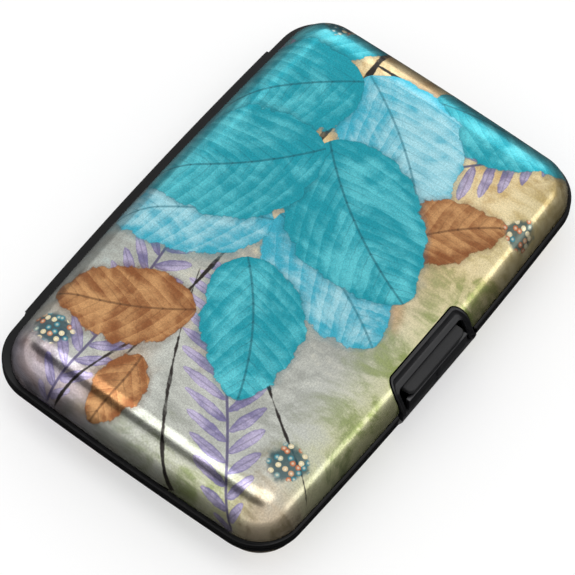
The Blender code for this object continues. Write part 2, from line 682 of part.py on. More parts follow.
def pleat_path():
    """The pleat's route round a leaf, from one end of the mouth to the other.

    Each entry is a place on the leaf's edge, the way out from it and the depth of the fold.
    """
    sideways = Vector((1.0, 0.0, 0.0))
    path = [
        (Vector((LEAF_HALF, LEAF_MOUTH_Y, 0.0)), sideways, PLEAT_MOUTH_DEPTH),
        (Vector((LEAF_HALF, LEAF_MOUTH_Y + PLEAT_TAPER, 0.0)), sideways, PLEAT_DEPTH),
    ]
    middle = Vector((LEAF_HALF - LEAF_CORNER, LEAF_SPINE_Y - LEAF_CORNER, 0.0))
    for step in range(CORNER_STEPS + 1):
        share = step / CORNER_STEPS
        turn = math.pi / 2 * share
        out = Vector((math.cos(turn), math.sin(turn), 0.0))
        depth = PLEAT_DEPTH + (PLEAT_SPINE_DEPTH - PLEAT_DEPTH) * share
        path.append((middle + LEAF_CORNER * out, out, depth))
    flip = Vector((-1.0, 1.0, 1.0))
    return path + [(place * flip, out * flip, depth) for place, out, depth in reversed(path)]


def pleat_shape(height):
    """One V-fold of film, open towards the pocket, at the height of the pocket's middle."""
    root = (LEAF_PITCH - PLEAT_APART) / 2
    rings = []
    for place, out, depth in pleat_path():
        profile = [
            (0.0, -root),
            (depth, -PLEAT_FILM / 2),
            (depth, PLEAT_FILM / 2),
            (0.0, root),
            (0.0, root - PLEAT_FILM),
            (depth - 2 * PLEAT_FILM, 0.0),
            (0.0, PLEAT_FILM - root),
        ]
        base = place + PLEAT_GAP * out
        rings.append([base + reach * out + Vector((0.0, 0.0, height + z)) for reach, z in profile])
    return loft(rings)


def make_pockets(back, front, material):
    """The eight leaves and the seven pleats. The outer leaves belong to the two halves."""
    for number in range(1, POCKETS + 2):
        low = leaf_height(number) - LEAF_THICKNESS / 2
        leaf = prism_up(leaf_points(), low, low + LEAF_THICKNESS)
        half = front if number == POCKETS + 1 else back
        half.piece(f"leaf_{number}", leaf, material, HINGE_POINT)
    for number in range(1, POCKETS + 1):
        middle = (leaf_height(number) + leaf_height(number + 1)) / 2
        back.piece(f"pleat_{number}", pleat_shape(middle), material)


def build():
    """Makes every piece and places the assembly on the ground, centred."""
    clear_scene()
    place = Vector((0.0, BODY_SHIFT_Y, HALF_THICKNESS))
    assembly = make_empty("assembly", place, None)
    back = Half("back", -1, assembly, NO_OFFSET)
    front = Half("front", 1, make_empty("lid_axis", HINGE_POINT, assembly), HINGE_POINT)
    printed = make_material("printed_aluminium", (0.10, 0.52, 0.58), 0.34, 0.8)
    moulded = make_material("black_plastic", (0.018, 0.018, 0.02), 0.4, 0.0)
    matte = make_material("button_plastic", (0.045, 0.045, 0.045), 0.6, 0.0)
    steel = make_material("steel", (0.6, 0.6, 0.62), 0.25, 1.0)
    film = make_material("pocket_film", (0.03, 0.03, 0.033), 0.45, 0.0)
    back_spans, lid_spans = knuckle_spans()
    make_shell(back, printed)
    make_shell(front, printed)
    make_tray(back, back_spans, lid_spans, moulded)
    front_tray = make_tray(front, lid_spans, back_spans, moulded)
    add_spring_wall(front, front_tray)
    make_hinge_pin(back, steel)
    make_back_bezel(back, moulded)
    front.piece("front_bezel", front_bezel_shape(), moulded)
    make_button(front, matte)
    make_spring(front, steel)
    make_pockets(back, front, film)


build()
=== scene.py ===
"""Looks of an aluminium card holder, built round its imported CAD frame.

Every length is in metres. Pieces are modelled about the parting line, with +X along the case,
+Y towards the hinge and +Z towards the lid, and each is then put where the frame has it.
"""

import logging
import math
from dataclasses import dataclass
from enum import Enum
from typing import Callable, Iterable

import bmesh
import bpy
from bmesh.types import BMEdge, BMesh, BMFace, BMVert
from bpy.types import Material, Node, NodeSocket, NodeTree, Object
from mathutils import Matrix, Vector


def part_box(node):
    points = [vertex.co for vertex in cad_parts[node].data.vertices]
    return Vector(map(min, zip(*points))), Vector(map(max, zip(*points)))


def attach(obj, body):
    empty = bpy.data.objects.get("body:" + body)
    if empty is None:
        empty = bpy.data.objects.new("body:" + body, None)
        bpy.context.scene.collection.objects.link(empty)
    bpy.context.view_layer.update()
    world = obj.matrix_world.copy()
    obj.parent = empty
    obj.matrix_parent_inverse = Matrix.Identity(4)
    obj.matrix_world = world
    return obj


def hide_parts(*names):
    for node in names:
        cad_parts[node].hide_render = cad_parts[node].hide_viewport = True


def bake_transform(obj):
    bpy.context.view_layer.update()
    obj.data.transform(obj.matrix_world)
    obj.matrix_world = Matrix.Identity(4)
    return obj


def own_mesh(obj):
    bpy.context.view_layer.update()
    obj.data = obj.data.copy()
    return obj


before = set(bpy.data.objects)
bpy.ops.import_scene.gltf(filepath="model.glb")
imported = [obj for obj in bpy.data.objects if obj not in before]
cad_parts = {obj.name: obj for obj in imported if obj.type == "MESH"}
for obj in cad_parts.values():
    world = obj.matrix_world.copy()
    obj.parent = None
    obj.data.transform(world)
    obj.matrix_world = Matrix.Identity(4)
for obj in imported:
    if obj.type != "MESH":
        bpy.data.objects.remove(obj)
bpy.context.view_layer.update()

MM = 0.001
QUARTER = math.pi / 2
MERGE_DISTANCE = 0.0004 * MM
SHARP_ANGLE = math.radians(34.0)
PRINT_MAP = "print"
PRINT_UNIT = 100.0 * MM
LAMP_WATTS = 4.0
STAGE_ROUGHNESS = 0.85

Span = tuple[float, float]

log = logging.getLogger("card_holder")


class Side(Enum):
    """The two halves of the case, with the body that each rides on and the way that it faces."""

    BACK = ("back", -1.0)
    LID = ("lid", 1.0)

    @property
    def body(self) -> str:
        """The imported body's name."""
        return self.value[0]

    @property
    def facing(self) -> float:
        """1 when this half faces up, -1 when it faces down."""
        return self.value[1]


class Slot(Enum):
    """Material slots of the record."""

    PRINT = "printed_aluminium"
    BLACK = "black_plastic"
    BUTTON = "button_plastic"
    STEEL = "steel"
    FILM = "pocket_film"


class Cut(Enum):
    """What a tool does to the piece that it meets."""

    REMOVE = "DIFFERENCE"
    JOIN = "UNION"


def in_modelling_frame() -> Vector:
    """Finds where the modelling frame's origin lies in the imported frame.

    Returns:
        The point on the parting line below the middle of the case.
    """
    low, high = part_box("hinge_pin")
    pin = (low + high) / 2
    return Vector((0.0, pin.y - CaseOutline().hinge_y, pin.z))


def only(items: Iterable[object], kind: type) -> list:
    """Picks the items of one kind, such as the vertices that an operator made."""
    return [item for item in items if isinstance(item, kind)]


def ends_of(edges: list[BMEdge]) -> list[BMVert]:
    """Collects the ends of edges, each one once and in the edges' order."""
    return list(dict.fromkeys(v for e in edges for v in e.verts))


def rims_of(mesh: BMesh) -> list[BMEdge]:
    """Finds the edges where a mesh is open."""
    return [e for e in mesh.edges if e.is_boundary]


def add_object(name: str, data: bpy.types.ID) -> Object:
    """Puts an object in the scene."""
    thing = bpy.data.objects.new(name, data)
    bpy.context.scene.collection.objects.link(thing)
    return thing


def add_mesh(name: str, mesh: BMesh) -> Object:
    """Puts a mesh in the scene as an object, and frees it."""
    data = bpy.data.meshes.new(name)
    mesh.to_mesh(data)
    mesh.free()
    return add_object(name, data)


@dataclass(frozen=True)
class Outline:
    """A rectangle with bowed sides and round corners, drawn with tangent arcs.

    Attributes:
        half_length: reach along X.
        low_y: where the latch side's crown lies.
        high_y: where the hinge side's crown lies.
        corner: radius of the round corners.
        long_bow: how far the long sides bow out.
        short_bow: how far the short sides bow out.
        steps: points on a corner's arc.
    """

    half_length: float
    low_y: float
    high_y: float
    corner: float
    long_bow: float = 0.95 * MM
    short_bow: float = 0.3 * MM
    steps: int = 20

    def face(self, mesh: BMesh, height: float) -> BMFace:
        """Draws the outline as one flat face that looks up.

        Args:
            mesh: the mesh to draw in.
            height: Z of the face.

        Returns:
            The new face.
        """
        half_width = (self.high_y - self.low_y) / 2
        corner_x = self.half_length - self.short_bow - self.corner
        corner_y = half_width - self.long_bow - self.corner
        short_reach = self.corner + self.short_bow
        long_reach = self.corner + self.long_bow
        short_radius = (short_reach**2 + corner_y**2 - self.corner**2) / (2 * self.short_bow)
        long_radius = (long_reach**2 + corner_x**2 - self.corner**2) / (2 * self.long_bow)
        short_turn = math.atan2(corner_y, short_radius - short_reach)
        long_turn = math.atan2(corner_x, long_radius - long_reach)
        arcs = (
            (Vector((self.half_length - short_radius, 0.0, 0.0)), short_turn, self.steps // 2),
            (Vector((corner_x, corner_y, 0.0)), QUARTER - short_turn - long_turn, self.steps),
            (Vector((0.0, half_width - long_radius, 0.0)), long_turn, self.steps),
        )
        start = tip = mesh.verts.new((self.half_length, 0.0, 0.0))
        for centre, turn, steps in arcs:
            swept = bmesh.ops.spin(
                mesh, geom=[tip], cent=centre, axis=(0, 0, 1), angle=turn, steps=steps
            )
            tip = only(swept["geom_last"], BMVert)[0]
        edges = reachable_edges(start)
        for axis in (0, 1):
            factor = Vector((1.0, 1.0, 1.0))
            factor[axis] = -1.0
            copied = bmesh.ops.duplicate(mesh, geom=edges + ends_of(edges))
            bmesh.ops.scale(mesh, vec=factor, verts=only(copied["geom"], BMVert))
            edges += only(copied["geom"], BMEdge)
        points = ends_of(edges)
        bmesh.ops.translate(mesh, verts=points, vec=(0.0, (self.low_y + self.high_y) / 2, height))
        bmesh.ops.remove_doubles(mesh, verts=points, dist=MERGE_DISTANCE)
        edges = [e for e in mesh.edges if not e.link_faces]
        made = bmesh.ops.contextual_create(mesh, geom=edges)["faces"][0]
        if made.normal.z < 0:
            made.normal_flip()
        made.normal_update()
        return made


def reachable_edges(start: BMVert) -> list[BMEdge]:
    """Collects the loose edges that hang together with a vertex.

    Args:
        start: where the walk begins.

    Returns:
        Every edge of the chain, in the order of the walk.
    """
    found: list[BMEdge] = []
    open_ends = [start]
    while open_ends:
        here = open_ends.pop()
        for edge in here.link_edges:
            if edge not in found:
                found.append(edge)
                open_ends.append(edge.other_vert(here))
    return found


@dataclass
class Terrace:
    """A form that grows from one face, ring by ring.

    Attributes:
        mesh: the mesh that holds it.
        face: the face on top of the last ring.
    """

    mesh: BMesh
    face: BMFace

    def step(self, inset: float, rise: float) -> None:
        """Moves the face inwards and along its normal, with a ring of new faces behind it.

        Args:
            inset: how far inwards.
            rise: how far along the normal.
        """
        bmesh.ops.inset_region(
            self.mesh,
            faces=[self.face],
            thickness=inset,
            depth=rise,
            use_even_offset=True,
            use_boundary=True,
        )

    def arc(self, radius: float, steps: int, direction: float = 1.0, turn: float = QUARTER) -> None:
        """Rounds the form over, from a wall towards a flat top.

        Args:
            radius: the arc's radius.
            steps: rings on the arc.
            direction: 1 to rise along the normal, -1 to sink into the form.
            turn: how far round the arc goes.
        """
        for step in range(steps):
            start, end = (turn * share / steps for share in (step, step + 1))
            inset = radius * (math.cos(start) - math.cos(end))
            rise = radius * (math.sin(end) - math.sin(start))
            self.step(inset, direction * rise)

    def fit(self, low_y: float, high_y: float) -> None:
        """Stretches the face across the case, to reach from one Y to another.

        Args:
            low_y: the lower Y.
            high_y: the higher Y.
        """
        points = self.face.verts[:]
        low = min(point.co.y for point in points)
        high = max(point.co.y for point in points)
        bmesh.ops.translate(self.mesh, verts=points, vec=(0.0, -low, 0.0))
        factor = (high_y - low_y) / (high - low)
        bmesh.ops.scale(self.mesh, vec=(1.0, factor, 1.0), verts=points)
        bmesh.ops.translate(self.mesh, verts=points, vec=(0.0, low_y, 0.0))


def centred_block(half_length: float, across: Span, height: Span) -> BMesh:
    """Makes a block that lies evenly about the middle of the case.

    Args:
        half_length: its reach along X.
        across: its low and high Y.
        height: its low and high Z.

    Returns:
        The block's mesh.
    """
    mesh = bmesh.new()
    low = Vector((-half_length, across[0], height[0]))
    high = Vector((half_length, across[1], height[1]))
    size = high - low
    place = Matrix.Translation((low + high) / 2) @ Matrix.Diagonal((*size, 1.0))
    bmesh.ops.create_cube(mesh, size=1.0, matrix=place)
    return mesh


def soften(
    mesh: BMesh, items: Iterable[BMEdge | BMVert], width: float, steps: int, kind: str = "EDGES"
) -> None:
    """Rounds edges over, or the corners of a flat drawing.

    Args:
        mesh: the mesh that holds them.
        items: which ones.
        width: how far back the rounding starts.
        steps: faces across the rounding.
        kind: EDGES or VERTICES.
    """
    bmesh.ops.bevel(
        mesh,
        geom=list(items),
        offset=width,
        offset_type="OFFSET",
        segments=steps,
        profile=0.5,
        affect=kind,
        material=-1,
        clamp_overlap=True,
    )


def bar(radius: float, low_x: float, high_x: float, centre_y: float, steps: int) -> BMesh:
    """Makes a round bar along X at the height of the parting line.

    Args:
        radius: the bar's radius.
        low_x: its one end.
        high_x: its other end.
        centre_y: Y of its axis.
        steps: sides of the bar.

    Returns:
        The bar's mesh.
    """
    mesh = bmesh.new()
    lie = Matrix.Rotation(QUARTER, 4, "Y")
    place = Matrix.Translation(((low_x + high_x) / 2, centre_y, 0.0)) @ lie
    bmesh.ops.create_cone(
        mesh,
        cap_ends=True,
        segments=steps,
        radius1=radius,
        radius2=radius,
        depth=high_x - low_x,
        matrix=place,
    )
    return mesh


def temporary_object(mesh: BMesh) -> Object:
    """Puts a mesh in the scene for a Boolean to read.

    Args:
        mesh: the shape, which is freed.

    Returns:
        The object.
    """
    bmesh.ops.recalc_face_normals(mesh, faces=mesh.faces[:])
    return add_mesh("tool", mesh)


def combined(body: BMesh, tools: Iterable[tuple[Cut, BMesh]]) -> BMesh:
    """Cuts tools out of a shape, or joins them to it.

    Args:
        body: the shape, which is freed.
        tools: what is done, and with which shape, in order.

    Returns:
        The finished shape.
    """
    thing = temporary_object(body)
    helpers = []
    for cut, tool in tools:
        helper = temporary_object(tool)
        helpers.append(helper)
        step = thing.modifiers.new("step", "BOOLEAN")
        step.operation = cut.value
        step.solver = "EXACT"
        step.object = helper
    graph = bpy.context.evaluated_depsgraph_get()
    made = bmesh.new()
    made.from_mesh(thing.evaluated_get(graph).to_mesh())
    for done in [thing, *helpers]:
        data = done.data
        bpy.data.objects.remove(done)
        bpy.data.meshes.remove(data)
    return made


@dataclass
class Workshop:
    """Turns finished shapes into pieces of the scene.

    Attributes:
        origin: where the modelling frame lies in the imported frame.
    """

    origin: Vector

    def piece(
        self,
        name: str,
        mesh: BMesh,
        material: Material,
        slot: Slot,
        nodes: Iterable[str],
        body: str = "",
    ) -> Object:
        """Makes a piece from a shape and hides the CAD nodes that it stands in for.

        Args:
            name: the piece's name.
            mesh: the shape in the modelling frame, which is freed.
            material: its finish.
            slot: not used.
            nodes: the CAD nodes that it replaces.
            body: the body that it rides on, or nothing for a piece that stays where it is made.

        Returns:
            The new object.
        """
        bmesh.ops.remove_doubles(mesh, verts=mesh.verts[:], dist=MERGE_DISTANCE)
        bmesh.ops.recalc_face_normals(mesh, faces=mesh.faces[:])
        bmesh.ops.translate(mesh, verts=mesh.verts[:], vec=self.origin)
        thing = add_mesh(name, mesh)
        data = thing.data
        data.shade_smooth()
        data.set_sharp_from_angle(angle=SHARP_ANGLE)
        data.materials.append(material)
        if body:
            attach(thing, body)
        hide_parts(*nodes)
        log.info("%s: %d faces", name, len(data.polygons))
        return thing


@dataclass(frozen=True)
class CaseOutline:
    """The case seen from above, and the heights that every piece shares.

    Attributes:
        half_length: reach of the black band along X.
        half_width: reach of the black band across the case.
        half_thickness: from the parting line to the flat of a shell.
        corner: radius of the band's corners.
        shell_edge: height of a shell's edge above the parting line.
        end_inset: from the band in to a shell, at the short sides.
        latch_inset: the same at the latch.
        back_inset: the same at the hinge.
        half_gap: half the gap between the trays.
        hinge_inset: from the band in to the hinge axis.
    """

    half_length: float = 55.0 * MM
    half_width: float = 37.2 * MM
    half_thickness: float = 9.7 * MM
    corner: float = 10.25 * MM
    shell_edge: float = 1.5 * MM
    end_inset: float = 1.0 * MM
    latch_inset: float = 0.7 * MM
    back_inset: float = 2.1 * MM
    half_gap: float = 0.1 * MM
    hinge_inset: float = 1.3 * MM

    @property
    def hinge_y(self) -> float:
        """Y of the hinge axis."""
        return self.half_width - self.hinge_inset

    @property
    def edge_radius(self) -> float:
        """Radius of a shell's rounded edge."""
        return self.half_thickness - self.shell_edge

    @property
    def shell_latch_y(self) -> float:
        """Y of a shell's edge on the latch side."""
        return self.latch_inset - self.half_width

    @property
    def shell_hinge_y(self) -> float:
        """Y of a shell's edge on the hinge side."""
        return self.half_width - self.back_inset

    def band(self) -> Outline:
        """The band's outline."""
        return Outline(self.half_length, -self.half_width, self.half_width, self.corner)

    def shell(self) -> Outline:
        """A shell's outline."""
        return Outline(
            self.half_length - self.end_inset,
            self.shell_latch_y,
            self.shell_hinge_y,
            self.corner - self.end_inset,
        )


def turned_for(side: Side, mesh: BMesh) -> BMesh:
    """Turns a shape of the lid over when it is for the back half.

    Args:
        side: which half.
        mesh: the shape.

    Returns:
        The same mesh.
    """
    bmesh.ops.scale(mesh, vec=(1.0, 1.0, side.facing), verts=mesh.verts[:])
    if side is Side.BACK:
        bmesh.ops.reverse_faces(mesh, faces=mesh.faces[:])
    return mesh


@dataclass
class LatchFace:
    """The curved face that the latch surround follows, and the surround's outline on it.

    Attributes:
        case: the case that carries it.
        half_length: half the surround's length.
        depth: from the band's latch side to the surround's top edge, seen from above.
        window_depth: the same for the window's top edge.
        rim: width of a leg.
        corner: radius of the top corners.
        window_corner: radius of the window's corners, which is not used.
        proud: how far the face stands off a shell.
        skirt: how far the face flares out at the parting line.
        skirt_height: where that flare ends.
        flare: how far the legs spread at the parting line.
        below: how far the flat drawing reaches below the parting line.
        corner_steps: faces on a top corner.
        bands: strips that the drawing is cut into, so that it can bend.
        tool_reach: how far the notch tool stands off the face, outside and in.
    """

    case: CaseOutline
    half_length: float = 12.0 * MM
    depth: float = 4.8 * MM
    window_depth: float = 2.2 * MM
    rim: float = 1.4 * MM
    corner: float = 2.2 * MM
    window_corner: float = 0.8 * MM
    proud: float = 0.15 * MM
    skirt: float = 0.95 * MM
    skirt_height: float = 4.5 * MM
    flare: float = 0.6 * MM
    below: float = 6.0 * MM
    corner_steps: int = 12
    bands: int = 28
    tool_reach: float = 2.5 * MM

    @property
    def radius(self) -> float:
        """Radius of the face's round part."""
        return self.case.edge_radius + self.proud

    @property
    def centre_y(self) -> float:
        """Y of that round part's centre."""
        return self.case.shell_latch_y + self.case.edge_radius

    def girth(self, depth: float) -> float:
        """Distance over the face, from the parting line to a depth seen from above.

        Args:
            depth: from the band's latch side.

        Returns:
            The distance.
        """
        reach = self.centre_y + self.case.half_width - depth
        return self.case.shell_edge + self.radius * math.acos(reach / self.radius)

    def wrap(self, point: Vector) -> Vector:
        """Carries a point of the flat drawing to the curved face.

        Args:
            point: X along the case, Y over the face from the parting line, Z off the face.

        Returns:
            The point in the modelling frame.
        """
        turn = max(0.0, point.y - self.case.shell_edge) / self.radius
        height = min(point.y, self.case.shell_edge) + self.radius * math.sin(turn)
        spread = smooth_share(1.0 - max(0.0, height) / self.skirt_height)
        across = self.centre_y - self.radius * math.cos(turn) - self.skirt * spread
        normal = Vector((0.0, -math.cos(turn), math.sin(turn)))
        widen = self.flare * smooth_share(1.0 - max(0.0, height) / self.case.shell_edge)
        along = point.x + math.copysign(widen, point.x) * min(1.0, abs(point.x) / self.half_length)
        return Vector((along, across, height)) + normal * point.z

    def blank(self, grow: float = 0.0) -> Terrace:
        """Draws the surround flat, before its header is stretched.

        Args:
            grow: how much larger than the surround, all round.

        Returns:
            The drawing as a terrace that looks up.
        """
        mesh = bmesh.new()
        half = self.half_length + grow
        top = self.girth(self.window_depth) + self.rim + grow
        place = Matrix.Translation((0.0, (top - self.below) / 2, 0.0)) @ Matrix.Diagonal(
            (half, (top + self.below) / 2, 1.0, 1.0)
        )
        bmesh.ops.create_grid(mesh, x_segments=1, y_segments=1, size=1.0, matrix=place)
        upper = [v for v in mesh.verts if v.co.y > 0]
        soften(mesh, upper, self.corner + grow, self.corner_steps, "VERTICES")
        return Terrace(mesh, mesh.faces[:][0])

    def laid_on(self, mesh: BMesh, grow: float = 0.0) -> BMesh:
        """Stretches the flat drawing's header, cuts it fine and wraps it over the face.

        Args:
            mesh: the flat drawing.
            grow: how much larger than the surround it is.

        Returns:
            The same mesh.
        """
        window_top = self.girth(self.window_depth)
        header = self.girth(self.depth) - window_top + grow
        stretch = header / (self.rim + grow)
        for vertex in mesh.verts:
            if vertex.co.y > window_top:
                vertex.co.y = window_top + (vertex.co.y - window_top) * stretch
        for number in range(1, self.bands):
            level = self.girth(self.depth) * number / self.bands
            slice_at(mesh, Vector((0.0, level, 0.0)), Vector((0.0, 1.0, 0.0)))
        for vertex in mesh.verts:
            vertex.co = self.wrap(vertex.co)
        return mesh

    def notch_tool(self, gap: float) -> BMesh:
        """Makes the tool that cuts the surround's room out of a shell or tray.

        Args:
            gap: how much room there is round the surround.

        Returns:
            The tool's mesh.
        """
        drawing = self.blank(gap)
        mesh = drawing.mesh
        bmesh.ops.translate(mesh, verts=mesh.verts[:], vec=(0.0, 0.0, -self.tool_reach))
        drawing.step(0.0, 2 * self.tool_reach)
        bmesh.ops.holes_fill(mesh, edges=mesh.edges[:], sides=0)
        bmesh.ops.recalc_face_normals(mesh, faces=mesh.faces[:])
        return self.laid_on(mesh, gap)


def smooth_share(value: float) -> float:
    """Eases a share in and out.

    Args:
        value: the share.

    Returns:
        An S-curve from 0 to 1.
    """
    held = min(1.0, max(0.0, value))
    return held * held * (3 - 2 * held)


@dataclass
class Shells:
    """The two pressed aluminium shells.

    Attributes:
        case: the case that they cover.
        face: the latch face, for their notch.
        thickness: of the sheet.
        notch_gap: room round the latch surround.
        rim_round: rounding of the sheet's cut edge, which is not used.
        steps: rings on the rounded edge.
    """

    case: CaseOutline
    face: LatchFace
    thickness: float = 0.5 * MM
    notch_gap: float = 0.3 * MM
    rim_round: float = 0.1 * MM
    steps: int = 18

    def shape(self) -> BMesh:
        """Presses one shell.

        Returns:
            The lid's shell.
        """
        mesh = bmesh.new()
        dome = Terrace(mesh, self.case.shell().face(mesh, self.case.shell_edge))
        dome.arc(self.case.edge_radius, self.steps)
        bmesh.ops.recalc_face_normals(mesh, faces=mesh.faces[:])
        bmesh.ops.solidify(mesh, geom=mesh.faces[:], thickness=self.thickness)
        return mesh

    def build(self, side: Side, shop: Workshop, material: Material) -> None:
        """Makes one half's shell.

        Args:
            side: which half.
            shop: where the piece is finished.
            material: its printed finish.
        """
        shape = combined(self.shape(), [(Cut.REMOVE, self.face.notch_tool(self.notch_gap))])
        node = "front_shell" if side is Side.LID else "back_shell"
        shell = shop.piece(
            f"{node}_pressed", turned_for(side, shape), material, Slot.PRINT, [node], side.body
        )
        self.unroll(shell)

    def unroll(self, shell: Object) -> None:
        """Gives a shell the map that its print is laid on, rolled flat over the edges.

        Args:
            shell: the finished piece.
        """
        data = shell.data
        layer = data.uv_layers.new(name=PRINT_MAP)
        normals = [vertex.normal.copy() for vertex in data.vertices]
        for loop in data.loops:
            place = data.vertices[loop.vertex_index].co
            normal = normals[loop.vertex_index]
            level = math.hypot(normal.x, normal.y)
            turn = math.atan2(level, abs(normal.z))
            extra = self.case.edge_radius * (turn - math.sin(turn)) / max(level, MERGE_DISTANCE)
            flat = (place.x + normal.x * extra, place.y + normal.y * extra)
            layer.data[loop.index].uv = [value / PRINT_UNIT for value in flat]


@dataclass(frozen=True)
class Hinge:
    """The pin and the knuckles that turn on it.

    Attributes:
        length: of the row of knuckles.
        end_knuckle: length of each outer knuckle.
        middle_knuckle: length of the middle one.
        radius: of the knuckles.
        room: clearance round a knuckle, in the other half.
        end_gap: between one knuckle and the next.
        pin_radius: of the pin.
        bore_radius: of the hole for it.
        pin_short: how far the pin stops inside the end knuckles.
        pin_chamfer: rounding of the pin's ends.
        bead_proud: how far the bead stands off the band.
        opening: how far the lid opens, with a little to spare.
        swing_reach: how far the swinging room reaches out from the axis, and down.
        steps: sides of a knuckle.
    """

    case: CaseOutline
    length: float = 80.0 * MM
    end_knuckle: float = 12.0 * MM
    middle_knuckle: float = 24.0 * MM
    radius: float = 1.05 * MM
    room: float = 0.25 * MM
    end_gap: float = 0.3 * MM
    pin_radius: float = 0.5 * MM
    bore_radius: float = 0.6 * MM
    pin_short: float = 1.0 * MM
    pin_chamfer: float = 0.12 * MM
    bead_proud: float = 0.45 * MM
    opening: float = math.radians(53.0)
    swing_reach: float = 3.3 * MM
    steps: int = 40

    def spans(self, side: Side) -> list[tuple[float, float]]:
        """Finds where one half's knuckles lie.

        Args:
            side: which half.

        Returns:
            The low and high X of each knuckle.
        """
        end = self.length / 2
        inner = end - self.end_knuckle
        middle = self.middle_knuckle / 2
        trim = self.end_gap / 2
        if side is Side.LID:
            return [(trim - inner, -middle - trim), (middle + trim, inner - trim)]
        return [(-end, -inner - trim), (trim - middle, middle - trim), (inner + trim, end)]

    def row(self, side: Side, radius: float, extra: float) -> list[BMesh]:
        """Makes one half's knuckles, or the rooms for them.

        Args:
            side: whose knuckles.
            radius: of the bars.
            extra: how much longer each is, at both ends.

        Returns:
            A bar for each knuckle.
        """
        return [
            bar(radius, low - extra, high + extra, self.case.hinge_y, self.steps)
            for low, high in self.spans(side)
        ]

    def bead(self, height: float) -> BMesh:
        """Makes the bead that runs along the band over the knuckles.

        Args:
            height: of its top above the parting line.

        Returns:
            The bead's mesh.
        """
        outline = Outline(
            self.case.half_length,
            -self.case.half_width,
            self.case.half_width + self.bead_proud,
            self.case.corner,
        )
        mesh = bmesh.new()
        form = Terrace(mesh, outline.face(mesh, self.case.half_gap))
        form.step(0.0, height - self.case.half_gap - self.bead_proud / 2)
        form.step(self.bead_proud / 4, self.bead_proud / 4)
        form.step(self.bead_proud / 2, self.bead_proud / 4)
        bmesh.ops.holes_fill(mesh, edges=mesh.edges[:], sides=0)
        half = self.length / 2
        for place, normal in (
            ((half, 0.0, 0.0), (1.0, 0.0, 0.0)),
            ((-half, 0.0, 0.0), (-1.0, 0.0, 0.0)),
            ((0.0, self.case.hinge_y, 0.0), (0.0, -1.0, 0.0)),
        ):
            trim_away(mesh, Vector(place), Vector(normal))
        return mesh

    def relief(self) -> BMesh:
        """Makes the wedge of room that lets the halves swing apart.

        Returns:
            The wedge's mesh.
        """
        case, reach = self.case, self.swing_reach
        across = (case.hinge_y, case.hinge_y + reach)
        mesh = centred_block(case.half_length, across, (-reach, case.half_gap))
        rise = reach * math.tan(self.opening / 2)
        outer = [v for v in mesh.verts if v.co.y > case.hinge_y + reach / 2 and v.co.z > 0]
        bmesh.ops.translate(mesh, verts=outer, vec=(0.0, 0.0, rise))
        return mesh

    def build(self, shop: Workshop, material: Material) -> None:
        """Makes the pin.

        Args:
            shop: where the piece is finished.
            material: its finish.
        """
        reach = self.length / 2 - self.pin_short
        mesh = bar(self.pin_radius, -reach, reach, self.case.hinge_y, self.steps)
        ends = [e for e in mesh.edges if e.calc_face_angle() > SHARP_ANGLE]
        soften(mesh, ends, self.pin_chamfer, steps=3)
        shop.piece("hinge_pin_turned", mesh, material, Slot.STEEL, ["hinge_pin"], Side.BACK.body)


def slice_at(mesh: BMesh, place: Vector, normal: Vector, clear: bool = False) -> list[BMEdge]:
    """Cuts a mesh along a plane.

    Args:
        mesh: the mesh.
        place: a point of the plane.
        normal: which way the plane faces.
        clear: whether what lies beyond it goes.

    Returns:
        The edges in the plane.
    """
    cut = bmesh.ops.bisect_plane(
        mesh,
        geom=mesh.verts[:] + mesh.edges[:] + mesh.faces[:],
        dist=MERGE_DISTANCE,
        plane_co=place,
        plane_no=normal,
        clear_outer=clear,
    )
    return only(cut["geom_cut"], BMEdge)


def trim_away(mesh: BMesh, place: Vector, normal: Vector) -> None:
    """Cuts off what lies beyond a plane and closes the cut.

    Args:
        mesh: the closed shape.
        place: a point of the plane.
        normal: the way to the part that goes.
    """
    bmesh.ops.holes_fill(mesh, edges=slice_at(mesh, place, normal, clear=True), sides=0)


